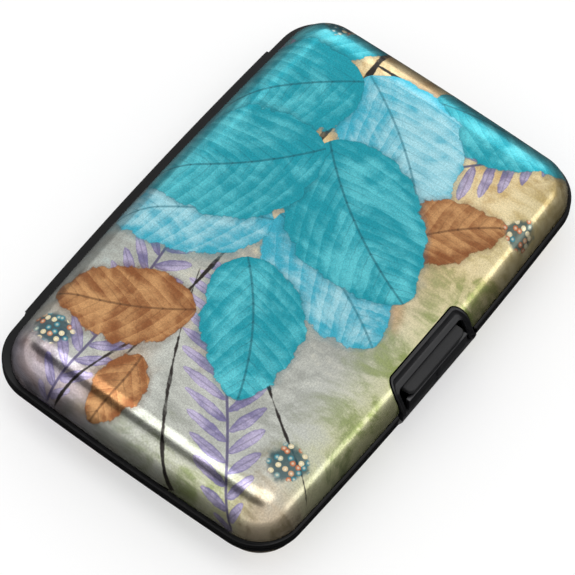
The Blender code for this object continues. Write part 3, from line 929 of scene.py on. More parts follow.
@dataclass
class Trays:
    """The two moulded trays, with the black band that shows between the shells.

    Attributes:
        case: the case that they form.
        face: the latch face, for their notch.
        hinge: the knuckles that they carry.
        wall: their wall.
        shell_room: sheet and gap between a tray and the outside of its shell.
        band_height: where the band's side ends.
        band_round: rounding of its outer corner.
        lip_top: height of the lip beside the shell.
        lip_gap: between the lip and the shell.
        rebate: height of the rebate's floor, where the shell's edge sits.
        notch_gap: room round the latch surround.
        round_steps: rings on the band's corner.
        steps: rings on the rounded wall.
    """

    case: CaseOutline
    face: LatchFace
    hinge: Hinge
    wall: float = 0.8 * MM
    shell_room: float = 0.8 * MM
    band_height: float = 1.05 * MM
    band_round: float = 0.3 * MM
    lip_top: float = 1.6 * MM
    lip_gap: float = 0.15 * MM
    rebate: float = 1.15 * MM
    notch_gap: float = 0.9 * MM
    round_steps: int = 6
    steps: int = 10

    def shape(self) -> BMesh:
        """Moulds one tray before its hinge and latch are cut.

        Returns:
            The lid's tray.
        """
        case = self.case
        mesh = bmesh.new()
        outside = Terrace(mesh, case.band().face(mesh, case.half_gap))
        outside.step(0.0, self.band_height - case.half_gap)
        outside.arc(self.band_round, self.round_steps)
        slope = case.end_inset - self.lip_gap - self.band_round
        outside.step(slope, self.lip_top - self.band_height - self.band_round)
        outside.fit(case.shell_latch_y - self.lip_gap, case.shell_hinge_y + self.lip_gap)
        outside.step(0.0, self.rebate - self.lip_top)
        outside.step(self.lip_gap + self.shell_room, 0.0)
        outside.step(0.0, case.shell_edge - self.rebate)
        outside.arc(case.edge_radius - self.shell_room, self.steps)
        closed = bmesh.ops.holes_fill(mesh, edges=mesh.edges[:], sides=0)["faces"][0]
        bmesh.ops.recalc_face_normals(mesh, faces=mesh.faces[:])
        inside = Terrace(mesh, closed)
        depth = self.shell_room + self.wall
        inside.step(case.end_inset + depth, 0.0)
        inside.fit(case.shell_latch_y + depth, case.shell_hinge_y - depth)
        inside.step(0.0, case.half_gap - case.shell_edge)
        inside.arc(case.edge_radius - self.shell_room - self.wall, self.steps, -1.0)
        return mesh

    def build(
        self,
        side: Side,
        shop: Workshop,
        material: Material,
        extras: Iterable[BMesh] = (),
    ) -> None:
        """Makes one half's tray.

        Args:
            side: which half.
            shop: where the piece is finished.
            material: its finish.
            extras: walls that are joined to it.
        """
        other = Side.BACK if side is Side.LID else Side.LID
        hinge = self.hinge
        bead_top = self.band_height + self.band_round
        tools = [(Cut.JOIN, hinge.bead(bead_top)), (Cut.REMOVE, hinge.relief())]
        rooms = hinge.row(other, hinge.radius + hinge.room, hinge.end_gap)
        tools += [(Cut.REMOVE, room) for room in rooms]
        tools += [(Cut.JOIN, knuckle) for knuckle in hinge.row(side, hinge.radius, 0.0)]
        reach = hinge.length
        bore = bar(hinge.bore_radius, -reach, reach, self.case.hinge_y, hinge.steps)
        tools.append((Cut.REMOVE, bore))
        tools.append((Cut.REMOVE, self.face.notch_tool(self.notch_gap)))
        tools += [(Cut.JOIN, extra) for extra in extras]
        shape = combined(self.shape(), tools)
        node = "front_tray" if side is Side.LID else "back_tray"
        shop.piece(
            f"{node}_moulded", turned_for(side, shape), material, Slot.BLACK, [node], side.body
        )


@dataclass
class Latch:
    """The latch: the surround on both halves, the push button, its spring and the catch.

    Attributes:
        case: the case that carries it.
        face: the curved face that the surround follows.
        wall: thickness of the surround.
        rim_steps: inset and sink of each step of the surround's rounded rim.
        cove: how deep the hollow round the window is.
        cove_steps: share of the hollow's width and of its depth, step by step.
        window_step: inset and sink of the window's edge.
        button_length: of the button.
        button_top: height of its top above the parting line.
        button_height: of its plate.
        button_corner: radius of its front corners.
        button_inset: from the band in to its front.
        button_edge: rounding of its edges.
        travel: how far it is pushed in.
        web: thickness of the web that carries it.
        web_front: from the band in to that web.
        web_round: rounding of the web's edges.
        ear_length: length of the web, with its ears.
        ear_bottom: height of the web's lower edge.
        hook_length: of the hook.
        hook_reach: how far it reaches out from the web.
        hook_height: of its root.
        hook_nose: height of its tip.
        spring_length: of the spring.
        spring_height: of the strip.
        spring_sheet: thickness of the strip.
        spring_gap: between the spring and what it pushes on.
        spring_steps: faces along the strip.
        spring_keep: share of its depth that the pressed spring keeps, which is not used.
        spring_wall: thickness of the wall behind it.
        spring_wall_length: of that wall.
        tongue_length: of the catch's tongue.
        tongue_inset: from the band in to it.
        tongue: its thickness.
        tongue_root: how far it reaches down into the back half.
        tongue_to_button: gap under the button.
        tongue_round: rounding of its edges.
        ledge_length: of the ledge that the hook holds.
        ledge: its height.
        ledge_round: rounding of the ledge's and the rib's edges.
        catch_gap: between hook and ledge.
        rib_width: of the rib on the tongue.
        rib_height: of the rib.
        rib_proud: how far it stands out.
    """

    case: CaseOutline
    face: LatchFace
    wall: float = 1.2 * MM
    rim_steps: tuple[Span, ...] = ((0.12 * MM, 0.0), (0.14 * MM, 0.02 * MM))
    cove: float = 0.55 * MM
    cove_steps: tuple[Span, ...] = (
        (0.16, 0.45), (0.14, 0.3), (0.2, 0.25), (0.2, -0.1), (0.3, -0.45),
    )
    window_step: Span = (0.1 * MM, 0.12 * MM)
    button_length: float = 18.2 * MM
    button_top: float = 5.9 * MM
    button_height: float = 1.4 * MM
    button_corner: float = 1.3 * MM
    button_inset: float = 0.2 * MM
    button_edge: float = 0.3 * MM
    travel: float = 1.0 * MM
    web: float = 1.2 * MM
    web_front: float = 3.6 * MM
    web_round: float = 0.15 * MM
    ear_length: float = 22.6 * MM
    ear_bottom: float = 2.6 * MM
    hook_length: float = 12.0 * MM
    hook_reach: float = 1.3 * MM
    hook_height: float = 1.4 * MM
    hook_nose: float = 0.5 * MM
    spring_length: float = 14.0 * MM
    spring_height: float = 1.0 * MM
    spring_sheet: float = 0.2 * MM
    spring_gap: float = 0.3 * MM
    spring_steps: int = 32
    spring_keep: float = 0.3
    spring_wall: float = 0.8 * MM
    spring_wall_length: float = 18.0 * MM
    tongue_length: float = 19.6 * MM
    tongue_inset: float = 0.1 * MM
    tongue: float = 1.0 * MM
    tongue_root: float = 1.0 * MM
    tongue_to_button: float = 0.8 * MM
    tongue_round: float = 0.12 * MM
    ledge_length: float = 13.0 * MM
    ledge: float = 0.8 * MM
    ledge_round: float = 0.1 * MM
    catch_gap: float = 0.3 * MM
    rib_width: float = 1.2 * MM
    rib_height: float = 2.6 * MM
    rib_proud: float = 0.45 * MM

    @property
    def outside_y(self) -> float:
        """Y of the band's latch side."""
        return -self.case.half_width

    @property
    def web_y(self) -> float:
        """Y of the front of the button's web."""
        return self.outside_y + self.web_front

    @property
    def button_bottom(self) -> float:
        """Height of the button's underside."""
        return self.button_top - self.button_height

    @property
    def spring_bow(self) -> float:
        """How far the spring bows."""
        return self.travel - self.spring_gap

    @property
    def spring_wall_y(self) -> float:
        """Y of the wall that the spring pushes against."""
        room = 2 * self.spring_gap + self.spring_bow + self.spring_sheet
        return self.web_y + self.web + room

    @property
    def tongue_top(self) -> float:
        """Height of the catch's tongue."""
        return self.button_bottom - self.tongue_to_button

    def rounded_blank(self) -> Terrace:
        """Draws the surround flat, with its rounded rim."""
        drawing = self.face.blank()
        for inset, sink in self.rim_steps:
            drawing.step(inset, -sink)
        return drawing

    def add_walls(self, mesh: BMesh) -> None:
        """Draws the open rims of a flat shape back to the surround's thickness."""
        pushed = bmesh.ops.extrude_edge_only(mesh, edges=rims_of(mesh))["geom"]
        for vertex in only(pushed, BMVert):
            vertex.co.z = -self.wall

    def laid(self, mesh: BMesh) -> BMesh:
        """Trims a closed flat shape at the parting line and lays it on the latch face."""
        bmesh.ops.recalc_face_normals(mesh, faces=mesh.faces[:])
        trim_away(mesh, Vector((0.0, self.case.half_gap, 0.0)), Vector((0.0, -1.0, 0.0)))
        return self.face.laid_on(mesh)

    def surround(self) -> BMesh:
        """Shapes the lid's surround: rim, cove, window and back.

        Returns:
            Its mesh.
        """
        drawing = self.rounded_blank()
        window_inset, window_sink = self.window_step
        across = self.face.rim - sum(step[0] for step in self.rim_steps) - window_inset
        for width, sink in self.cove_steps:
            drawing.step(across * width, -self.cove * sink)
        drawing.step(window_inset, -window_sink)
        mesh = drawing.mesh
        bmesh.ops.delete(mesh, geom=[drawing.face], context="FACES")
        self.add_walls(mesh)
        bmesh.ops.bridge_loops(mesh, edges=rims_of(mesh))
        return self.laid(mesh)

    def back_plate(self) -> BMesh:
        """Shapes the back half's surround, which has no window."""
        mesh = self.rounded_blank().mesh
        self.add_walls(mesh)
        bmesh.ops.holes_fill(mesh, edges=rims_of(mesh), sides=0)
        return self.laid(mesh)

    def catch(self) -> list[BMesh]:
        """Shapes the tongue, the ledge and the rib that stand on the back half.

        Returns:
            Their meshes.
        """
        face_y = self.outside_y + self.tongue_inset
        inner_y = face_y + self.tongue / 2
        top = self.tongue_top
        tongue = centred_block(
            self.tongue_length / 2, (face_y, face_y + self.tongue), (-self.tongue_root, top)
        )
        soften(tongue, tongue.edges[:], self.tongue_round, steps=2)
        ledge_y = self.web_y - self.hook_reach - self.catch_gap
        ledge = centred_block(self.ledge_length / 2, (inner_y, ledge_y), (top - self.ledge, top))
        soften(ledge, ledge.edges[:], self.ledge_round, steps=2)
        rib_top = top - self.rib_proud
        rib = centred_block(
            self.rib_width / 2, (face_y - self.rib_proud, inner_y), (top - self.rib_height, rib_top)
        )
        outer = [v for v in rib.verts if v.co.y < face_y and v.co.z > rib_top - self.rib_proud]
        bmesh.ops.translate(rib, verts=outer, vec=(0.0, self.rib_proud, 0.0))
        soften(rib, rib.edges[:], self.ledge_round, steps=2)
        return [tongue, ledge, rib]

    def button(self) -> BMesh:
        """Shapes the push button with its web and hook.

        Returns:
            Its mesh.
        """
        back = self.web_y + self.web
        inside = back - self.button_edge
        plate = centred_block(
            self.button_length / 2,
            (self.outside_y + self.button_inset, back),
            (self.button_bottom, self.button_top),
        )
        upright = [
            e for e in plate.edges
            if all(v.co.y < self.web_y for v in e.verts)
            and abs(e.verts[0].co.x - e.verts[1].co.x) < MERGE_DISTANCE
        ]
        soften(plate, upright, self.button_corner, steps=10)
        round_over = [e for e in plate.edges if e.calc_face_angle() > SHARP_ANGLE]
        soften(plate, round_over, self.button_edge, steps=4)
        heights = (self.ear_bottom, self.button_top - self.button_edge)
        web = centred_block(self.ear_length / 2, (self.web_y, inside), heights)
        soften(web, web.edges[:], self.web_round, steps=2)
        half = self.hook_length / 2
        hook_top = self.tongue_top - self.ledge - self.catch_gap
        hook_bottom = hook_top - self.hook_height
        heights = (hook_bottom, self.button_bottom + self.button_edge)
        arm = centred_block(half, (self.web_y + self.button_edge, inside), heights)
        toe = centred_block(half, (self.web_y - self.hook_reach, inside), (hook_bottom, hook_top))
        low = hook_bottom + MERGE_DISTANCE
        nose = [v for v in toe.verts if v.co.y < self.web_y and v.co.z < low]
        bmesh.ops.translate(toe, verts=nose, vec=(0.0, 0.0, self.hook_height - self.hook_nose))
        return combined(plate, [(Cut.JOIN, web), (Cut.JOIN, arm), (Cut.JOIN, toe)])

    def spring(self) -> BMesh:
        """Shapes the bowed strip behind the button.

        Returns:
            Its mesh.
        """
        mesh = bmesh.new()
        low = self.button_bottom + (self.button_height - self.spring_height) / 2
        middle_y = self.web_y + self.web + self.spring_gap
        half = self.spring_length / 2
        stand = Matrix.Rotation(QUARTER, 4, "X")
        place = Matrix.Translation((0.0, middle_y, low + self.spring_height / 2)) @ stand
        shape = Matrix.Diagonal((half, self.spring_height / 2, 1.0, 1.0))
        bmesh.ops.create_grid(
            mesh, x_segments=self.spring_steps, y_segments=1, size=1.0, matrix=place @ shape
        )
        for vertex in mesh.verts:
            vertex.co.y += self.spring_bow * (vertex.co.x / half) ** 2
        bmesh.ops.recalc_face_normals(mesh, faces=mesh.faces[:])
        if mesh.faces[:][0].normal.y > 0:
            bmesh.ops.reverse_faces(mesh, faces=mesh.faces[:])
        bmesh.ops.solidify(mesh, geom=mesh.faces[:], thickness=self.spring_sheet)
        return mesh

    def spring_stop(self, top: float) -> BMesh:
        """Shapes the wall in the lid that the spring pushes against.

        Args:
            top: how high it reaches into the plate above.

        Returns:
            The wall's mesh.
        """
        across = (self.spring_wall_y, self.spring_wall_y + self.spring_wall)
        return centred_block(self.spring_wall_length / 2, across, (self.button_bottom, top))

    def build(
        self,
        shop: Workshop,
        glossy_plastic_with_painted_sheen: Material,
        matte: Material,
        steel: Material,
    ) -> None:
        """Makes the latch's pieces.

        Args:
            shop: where they are finished.
            glossy_plastic_with_painted_sheen: finish of the surrounds, a glossier copy of the black
                plastic whose paler colour is a painted sheen.
            matte: finish of the button.
            steel: finish of the spring.
        """
        shop.piece(
            "latch_surround", self.surround(), glossy_plastic_with_painted_sheen, Slot.BLACK, ["front_bezel"], Side.LID.body
        )
        plate = turned_for(Side.BACK, self.back_plate())
        plate = combined(plate, [(Cut.JOIN, shape) for shape in self.catch()])
        shop.piece("catch_plate", plate, glossy_plastic_with_painted_sheen, Slot.BLACK, ["back_bezel"], Side.BACK.body)
        shop.piece("push_button", self.button(), matte, Slot.BUTTON, ["latch_button"], "button")
        spring = shop.piece(
            "button_spring", self.spring(), steel, Slot.STEEL, ["latch_spring"], Side.LID.body
        )
        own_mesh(spring)


@dataclass
class Pockets:
    """The fan of card pockets: stiff leaves, joined by folded film.

    Attributes:
        case: the case that they sit in.
        count: of pockets.
        stack: from the lowest leaf's middle to the highest one's.
        leaf: thickness of a leaf.
        half_length: a leaf's reach along X.
        mouth_y: Y of a leaf's open side.
        spine_y: Y of its hinge side.
        corner: radius of its corners.
        scoop_length: of the thumb scoop in the mouth.
        scoop_depth: of that scoop.
        fold_lap: how far the film's edge is sealed into a leaf.
        fold_depth: of the fold at the short sides.
        spine_depth: of the fold at the hinge side.
        mouth_depth: of the fold where it ends, at the mouth.
        taper: how far from the mouth the fold reaches its full depth.
        film: thickness of the film.
        apart: between one fold and the next.
        straight: bow of a side, small enough to look straight.
        mouth_reach: how near the mouth's line an edge is part of the mouth.
        mouth_cuts: cuts in each edge of the mouth, for the scoop.
        rim_round: rounding of a leaf's rim.
        rim_angle: how sharp an edge is rounded.
        corner_steps: points on a corner.
    """

    case: CaseOutline
    count: int = 7
    stack: float = 15.2 * MM
    leaf: float = 0.4 * MM
    half_length: float = 43.5 * MM
    mouth_y: float = -28.5 * MM
    spine_y: float = 25.9 * MM
    corner: float = 4.0 * MM
    scoop_length: float = 24.0 * MM
    scoop_depth: float = 2.4 * MM
    fold_lap: float = 0.3 * MM
    fold_depth: float = 6.0 * MM
    spine_depth: float = 4.1 * MM
    mouth_depth: float = 2.4 * MM
    taper: float = 3.5 * MM
    film: float = 0.25 * MM
    apart: float = 0.3 * MM
    straight: float = 0.01 * MM
    mouth_reach: float = 0.02 * MM
    mouth_cuts: int = 3
    rim_round: float = 0.08 * MM
    rim_angle: float = math.radians(60.0)
    corner_steps: int = 12

    @property
    def pitch(self) -> float:
        """Distance from one leaf to the next."""
        return self.stack / self.count

    @property
    def fold_root(self) -> float:
        """Height of a fold's sealed edges above and below its middle."""
        return (self.pitch - self.apart) / 2

    def height(self, number: int) -> float:
        """Height of a leaf's middle.

        Args:
            number: of the leaf, from 1 at the back.

        Returns:
            Its height above the parting line.
        """
        return (number - 1) * self.pitch - self.stack / 2

    def outline(self, half_length: float, low_y: float, high_y: float, corner: float) -> Outline:
        """Draws a leaf's or a fold's outline, with straight sides."""
        return Outline(
            half_length, low_y, high_y, corner, self.straight, self.straight, self.corner_steps
        )

    def sheet(self, number: int) -> BMesh:
        """Cuts one leaf, with a thumb scoop in its mouth.

        Args:
            number: of the leaf.

        Returns:
            The leaf's mesh.
        """
        mesh = bmesh.new()
        self.outline(self.half_length, self.mouth_y, self.spine_y, self.corner).face(
            mesh, self.height(number) - self.leaf / 2
        )
        mouth_line = self.mouth_y + self.mouth_reach
        mouth = [e for e in mesh.edges if all(v.co.y < mouth_line for v in e.verts)]
        bmesh.ops.subdivide_edges(mesh, edges=mouth, cuts=self.mouth_cuts)
        for vertex in mesh.verts:
            share = abs(vertex.co.x) / (self.scoop_length / 2)
            if vertex.co.y < mouth_line and share < 1:
                vertex.co.y += self.scoop_depth * (1 + math.cos(math.pi * share)) / 2
        Terrace(mesh, mesh.faces[:][0]).step(0.0, self.leaf)
        bmesh.ops.holes_fill(mesh, edges=rims_of(mesh), sides=0)
        bmesh.ops.recalc_face_normals(mesh, faces=mesh.faces[:])
        rims = [e for e in mesh.edges if e.calc_face_angle() > self.rim_angle]
        soften(mesh, rims, self.rim_round, steps=2)
        return mesh

    def fold(self, number: int) -> BMesh:
        """Folds the film that joins one leaf to the next round three sides.

        It lines the two leaves too.

        Args:
            number: of the lower leaf.

        Returns:
            The film's mesh.
        """
        root = self.fold_root
        middle = self.height(number) + self.pitch / 2
        mesh = bmesh.new()
        for height, out in ((-root, 0.0), (0.0, 1.0), (root, 0.0)):
            outline = self.outline(
                self.half_length - self.fold_lap + out * self.fold_depth,
                self.mouth_y - self.corner * 2,
                self.spine_y - self.fold_lap + out * self.spine_depth,
                self.corner - self.fold_lap + out * self.spine_depth,
            )
            outline.face(mesh, middle + height)
        between = [f for f in mesh.faces if abs(f.verts[0].co.z - middle) < root / 2]
        bmesh.ops.delete(mesh, geom=between, context="FACES_ONLY")
        rings = sorted({round(v.co.z, 7) for v in mesh.verts})
        for low, high in zip(rings, rings[1:]):
            pair = [
                e for e in mesh.edges
                if abs(e.verts[0].co.z - e.verts[1].co.z) < MERGE_DISTANCE
                and (abs(e.verts[0].co.z - low) < MERGE_DISTANCE * 3
                     or abs(e.verts[0].co.z - high) < MERGE_DISTANCE * 3)
            ]
            bmesh.ops.bridge_loops(mesh, edges=pair)
        slice_at(mesh, Vector((0.0, self.mouth_y, 0.0)), Vector((0.0, -1.0, 0.0)), clear=True)
        root_x = self.half_length - self.fold_lap
        for vertex in mesh.verts:
            near = max(0.0, 1 - (vertex.co.y - self.mouth_y) / self.taper)
            out = abs(vertex.co.x) - root_x
            if near > 0 and out > MERGE_DISTANCE:
                drawn = out * (1 - near * (1 - self.mouth_depth / self.fold_depth))
                vertex.co.x = math.copysign(root_x + drawn, vertex.co.x)
        bmesh.ops.recalc_face_normals(mesh, faces=mesh.faces[:])
        bmesh.ops.solidify(mesh, geom=mesh.faces[:], thickness=self.film)
        return mesh

    def body(self, number: int) -> str:
        """The body that a leaf rides on.

        Args:
            number: of the leaf.

        Returns:
            The body's name.
        """
        if number == 1:
            return Side.BACK.body
        return Side.LID.body if number == self.count + 1 else f"divider_{number}"

    def build(self, shop: Workshop, material: Material) -> None:
        """Makes the leaves and the film between them.

        Args:
            shop: where the pieces are finished.
            material: their finish.
        """
        for number in range(1, self.count + 2):
            leaf = self.sheet(number)
            name = f"pocket_leaf_{number}"
            shop.piece(name, leaf, material, Slot.FILM, [f"leaf_{number}"], self.body(number))
        for number in range(1, self.count + 1):
            film = shop.piece(
                f"pocket_fold_{number}", self.fold(number), material, Slot.FILM, [f"pleat_{number}"]
            )
            lower = shop.origin.z + self.height(number) + self.apart / 2
            upper = lower + 2 * self.fold_root
            share = unease((number - 1) / number)
            start = upper - (upper - lower) / (1 - share)
            Side.BACK.body
            self.body(number + 1)
            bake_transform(film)


def unease(value: float) -> float:
    """Undoes the S-curve of a blend.

    Args:
        value: a share on the curve.

    Returns:
        The share that the curve takes there.
    """
    return 0.5 - math.sin(math.asin(1 - 2 * value) / 3)


@dataclass(frozen=True)
class Signal:
    """A socket of a node tree that can be calculated with.

    Attributes:
        graph: the tree that holds it.
        socket: the socket.
    """

    graph: "Graph"
    socket: NodeSocket

    def __add__(self, other: "Value") -> "Signal":
        """Adds."""
        return self.graph.math("ADD", self, other)

    def __sub__(self, other: "Value") -> "Signal":
        """Subtracts."""
        return self.graph.math("SUBTRACT", self, other)

    def __mul__(self, other: "Value") -> "Signal":
        """Multiplies."""
        return self.graph.math("MULTIPLY", self, other)

    def __truediv__(self, other: "Value") -> "Signal":
        """Divides."""
        return self.graph.math("DIVIDE", self, other)

    def __pow__(self, other: "Value") -> "Signal":
        """Raises to a power."""
        return self.graph.math("POWER", self, other)

    def size(self) -> "Signal":
        """The value without its sign."""
        return self.graph.math("ABSOLUTE", self)

    def at_least(self, other: "Value") -> "Signal":
        """The larger of two values."""
        return self.graph.math("MAXIMUM", self, other)

    def at_most(self, other: "Value") -> "Signal":
        """The smaller of two values."""
        return self.graph.math("MINIMUM", self, other)

    def fraction(self) -> "Signal":
        """What is left beyond a whole number."""
        return self.graph.math("FRACT", self)

    def rest(self) -> "Signal":
        """What is missing to 1."""
        return self * -1.0 + 1.0

    def hump(self) -> "Signal":
        """An arch over a share: 0 at both ends and 1 in the middle."""
        return self * self.rest() * 4.0

    def ease(self, low: "Value", high: "Value", start: float = 0.0, end: float = 1.0) -> "Signal":
        """Eases from one value to another as this one rises from low to high."""
        values = {"Value": self, "From Min": low, "From Max": high, "To Min": start, "To Max": end}
        node = self.graph.put("ShaderNodeMapRange", values, interpolation_type="SMOOTHSTEP")
        return Signal(self.graph, node.outputs["Result"])


Value = Signal | float
Colour = tuple[float, float, float, float]
Tint = Signal | Colour


def paint(code: str) -> Colour:
    """Turns a screen colour into the linear one that shaders take.

    Args:
        code: six hexadecimal digits.

    Returns:
        Red, green, blue and an alpha of 1.
    """
    parts = [int(code[start : start + 2], 16) / 255 for start in (0, 2, 4)]
    linear = [p / 12.92 if p <= 0.04045 else ((p + 0.055) / 1.055) ** 2.4 for p in parts]
    return (*linear, 1.0)


class Graph:
    """A node tree, drawn with short calls."""

    def __init__(self, tree: NodeTree) -> None:
        """Takes a tree to draw in.

        Args:
            tree: a material's or a group's node tree.
        """
        self.tree = tree

    def put(
        self, kind: str, values: dict[str | int, object] | None = None, **settings: object
    ) -> Node:
        """Adds a node.

        Args:
            kind: its type.
            values: what each input is linked to or set to, by the input's name or number.
            settings: the node's own settings.

        Returns:
            The node.
        """
        node = self.tree.nodes.new(kind)
        for key, value in settings.items():
            setattr(node, key, value)
        self.feed(node, values or {})
        column, row = divmod(len(self.tree.nodes), 8)
        node.location = (200.0 * column, -200.0 * row)
        return node

    def feed(self, node: Node, values: dict[str | int, object]) -> None:
        """Links or sets a node's inputs.

        Args:
            node: the node.
            values: what each input gets, by its name or number.
        """
        for key, value in values.items():
            if isinstance(value, Signal):
                self.tree.links.new(value.socket, node.inputs[key])
            else:
                node.inputs[key].default_value = value

    def math(self, operation: str, first: Value, second: Value = 0.0) -> Signal:
        """Calculates with one or two values.

        Args:
            operation: of the Math node.
            first: its first value.
            second: its second value.

        Returns:
            The result.
        """
        node = self.put("ShaderNodeMath", {0: first, 1: second}, operation=operation)
        return Signal(self, node.outputs[0])

    def blend(self, share: Value, under: Tint, over: Tint, way: str = "MIX") -> Signal:
        """Lays one colour over another.

        Args:
            share: how much of the upper one shows.
            under: the lower colour.
            over: the upper colour.
            way: how they mix.

        Returns:
            The mixed colour.
        """
        node = self.put(
            "ShaderNodeMix", {0: share, 6: under, 7: over}, data_type="RGBA", blend_type=way
        )
        return Signal(self, node.outputs[2])

    def noise(
        self,
        place: Signal,
        scale: Value,
        detail: float = 2.0,
        rough: float = 0.5,
        drift: float = 0.0,
    ) -> Signal:
        """Makes noise from 0 to 1.

        Args:
            place: where it is read.
            scale: how fine it is.
            detail: octaves.
            rough: strength of the finer octaves.
            drift: how much it swirls.

        Returns:
            The noise.
        """
        values = {
            "Vector": place, "Scale": scale, "Detail": detail, "Roughness": rough,
            "Distortion": drift,
        }
        return Signal(self, self.put("ShaderNodeTexNoise", values).outputs[0])

    def offset(self, place: Signal, away: object) -> Signal:
        """Measures a place from another one.

        Args:
            place: the place.
            away: where it is measured from.

        Returns:
            The difference, as a vector.
        """
        node = self.put("ShaderNodeVectorMath", {0: place, 1: away}, operation="SUBTRACT")
        return Signal(self, node.outputs[0])

    def spread(self, place: Signal, factors: tuple[float, float, float]) -> Signal:
        """Scales a place along each axis.

        Args:
            place: the place.
            factors: for X, Y and Z.

        Returns:
            The scaled place.
        """
        node = self.put("ShaderNodeVectorMath", {0: place, 1: factors}, operation="MULTIPLY")
        return Signal(self, node.outputs[0])

    def parts(self, place: Signal) -> tuple[Signal, Signal]:
        """Splits a place into X and Y."""
        node = self.put("ShaderNodeSeparateXYZ", {0: place})
        return Signal(self, node.outputs["X"]), Signal(self, node.outputs["Y"])

    def object_place(self) -> Signal:
        """The place on the piece."""
        return Signal(self, self.put("ShaderNodeTexCoord").outputs["Object"])

    def bump(self, height: Signal, distance: float, strength: float) -> Signal:
        """Turns a height into a normal.

        Args:
            height: from 0 to 1.
            distance: what a height of 1 means, in metres.
            strength: how much of it is felt.

        Returns:
            The normal.
        """
        values = {"Height": height, "Distance": distance, "Strength": strength}
        return Signal(self, self.put("ShaderNodeBump", values).outputs[0])

    def use(self, group: NodeTree, values: dict[str, object]) -> dict[str, Signal]:
        """Places a group.

        Args:
            group: which one.
            values: what each input is linked to or set to.

        Returns:
            Its outputs by name.
        """
        node = self.put("ShaderNodeGroup", values, node_tree=group)
        return {socket.name: Signal(self, socket) for socket in node.outputs}


SOCKETS = {"value": "NodeSocketFloat", "place": "NodeSocketVector", "colour": "NodeSocketColor"}


def make_group(
    name: str,
    inputs: dict[str, str],
    outputs: dict[str, str],
    draw: Callable[[Graph, dict[str, Signal]], dict[str, Signal]],
) -> NodeTree:
    """Makes a node group, or finds it if it is there.

    Args:
        name: of the group.
        inputs: the kind of each input.
        outputs: the kind of each output.
        draw: draws the group from its inputs, and returns its outputs.

    Returns:
        The group.
    """
    found = bpy.data.node_groups.get(name)
    if found:
        return found
    tree = bpy.data.node_groups.new(name, "ShaderNodeTree")
    for key, kind in inputs.items():
        tree.interface.new_socket(key, in_out="INPUT", socket_type=SOCKETS[kind])
    for key, kind in outputs.items():
        tree.interface.new_socket(key, in_out="OUTPUT", socket_type=SOCKETS[kind])
    graph = Graph(tree)
    entry = graph.put("NodeGroupInput")
    drawn = draw(graph, {key: Signal(graph, entry.outputs[key]) for key in inputs})
    graph.put("NodeGroupOutput", drawn)
    return tree


MOTIF_INPUTS = {
    "Under": "colour", "Place": "place", "Wobble": "value", "Wash": "value", "Foot": "place",
    "Heading": "value", "Length": "value", "Bend": "value", "Ink": "colour",
}
TONE_INPUTS = {"Deep": "colour", "Pale": "colour"}
COLOUR_OUTPUT = {"Colour": "colour"}


def from_foot(graph: Graph, given: dict[str, Signal]) -> tuple[Signal, Signal, Signal]:
    """Measures the place on the print from a motif's foot.

    Args:
        graph: the group's tree.
        given: the group's inputs.

    Returns:
        The distance along the motif, the distance across it, and the share of its length.
    """
    values = {"Vector": graph.offset(given["Place"], given["Foot"]), "Angle": given["Heading"]}
    node = graph.put("ShaderNodeVectorRotate", values, rotation_type="Z_AXIS", invert=True)
    along, across = graph.parts(Signal(graph, node.outputs[0]))
    return along, across, along / given["Length"]


def leaf_group() -> NodeTree:
    """Makes the group that paints one broad leaf over a colour."""

    def draw(graph: Graph, given: dict[str, Signal]) -> dict[str, Signal]:
        """Draws the group."""
        along, across, share = from_foot(graph, given)
        bulge = share.hump()
        side = (across - bulge * given["Bend"]).size()
        belly = bulge.at_least(0.0) ** 0.62 * (share * -0.34 + 1.17)
        width = belly * given["Width"] * 0.5
        inside = width - side + bulge.at_most(0.0) * given["Length"] + given["Wobble"]
        shade = inside.ease(-1.7, 0.2) * share.ease(-0.02, 0.1) * 0.34
        under = graph.blend(shade, given["Under"], given["Ink"])
        rim = inside.ease(0.05, 0.5, 1.0, 0.0)
        pool = inside.ease(0.3, 3.4, 1.0, 0.0)
        rib = side.ease(0.08, 0.4, 1.0, 0.0)
        swept = along - side * 0.85 - side * side * 0.035 + given["Wobble"] * 0.35
        slant = (swept / 4.3).fraction()
        vein = (slant - 0.5).size().ease(0.015, 0.07, 1.0, 0.0) * side.ease(0.0, 8.0, 0.7, 0.1)
        fold = slant.ease(0.0, 1.0, -0.11, 0.11)
        tone = given["Wash"] + given["Tone"] + fold - pool * 0.2 + (share - 0.5) * 0.3
        body = graph.blend(tone.ease(0.16, 0.94), given["Deep"], given["Pale"])
        lines = (rim * 0.8 + rib * 0.62 + vein * 0.4).at_most(1.0)
        inked = graph.blend(lines, body, given["Ink"])
        return {"Colour": graph.blend(inside.ease(0.0, 0.4), under, inked)}

    inputs = MOTIF_INPUTS | TONE_INPUTS | {"Width": "value", "Tone": "value"}
    return make_group("broad_leaf", inputs, COLOUR_OUTPUT, draw)


def twig_group() -> NodeTree:
    """Makes the group that paints one thin curved twig over a colour."""

    def draw(graph: Graph, given: dict[str, Signal]) -> dict[str, Signal]:
        """Draws the group."""
        _, across, share = from_foot(graph, given)
        side = (across - share * share * given["Bend"]).size()
        width = given["Width"] * (share * -0.7 + 1.0) + given["Wobble"] * 0.25
        ends = share.ease(0.0, 0.01) * share.ease(0.97, 1.0, 1.0, 0.0)
        mask = (width - side).ease(-0.12, 0.16) * ends * given["Wash"].ease(0.1, 0.5, 0.45, 1.0)
        return {"Colour": graph.blend(mask, given["Under"], given["Ink"])}

    return make_group("twig", MOTIF_INPUTS | {"Width": "value"}, COLOUR_OUTPUT, draw)


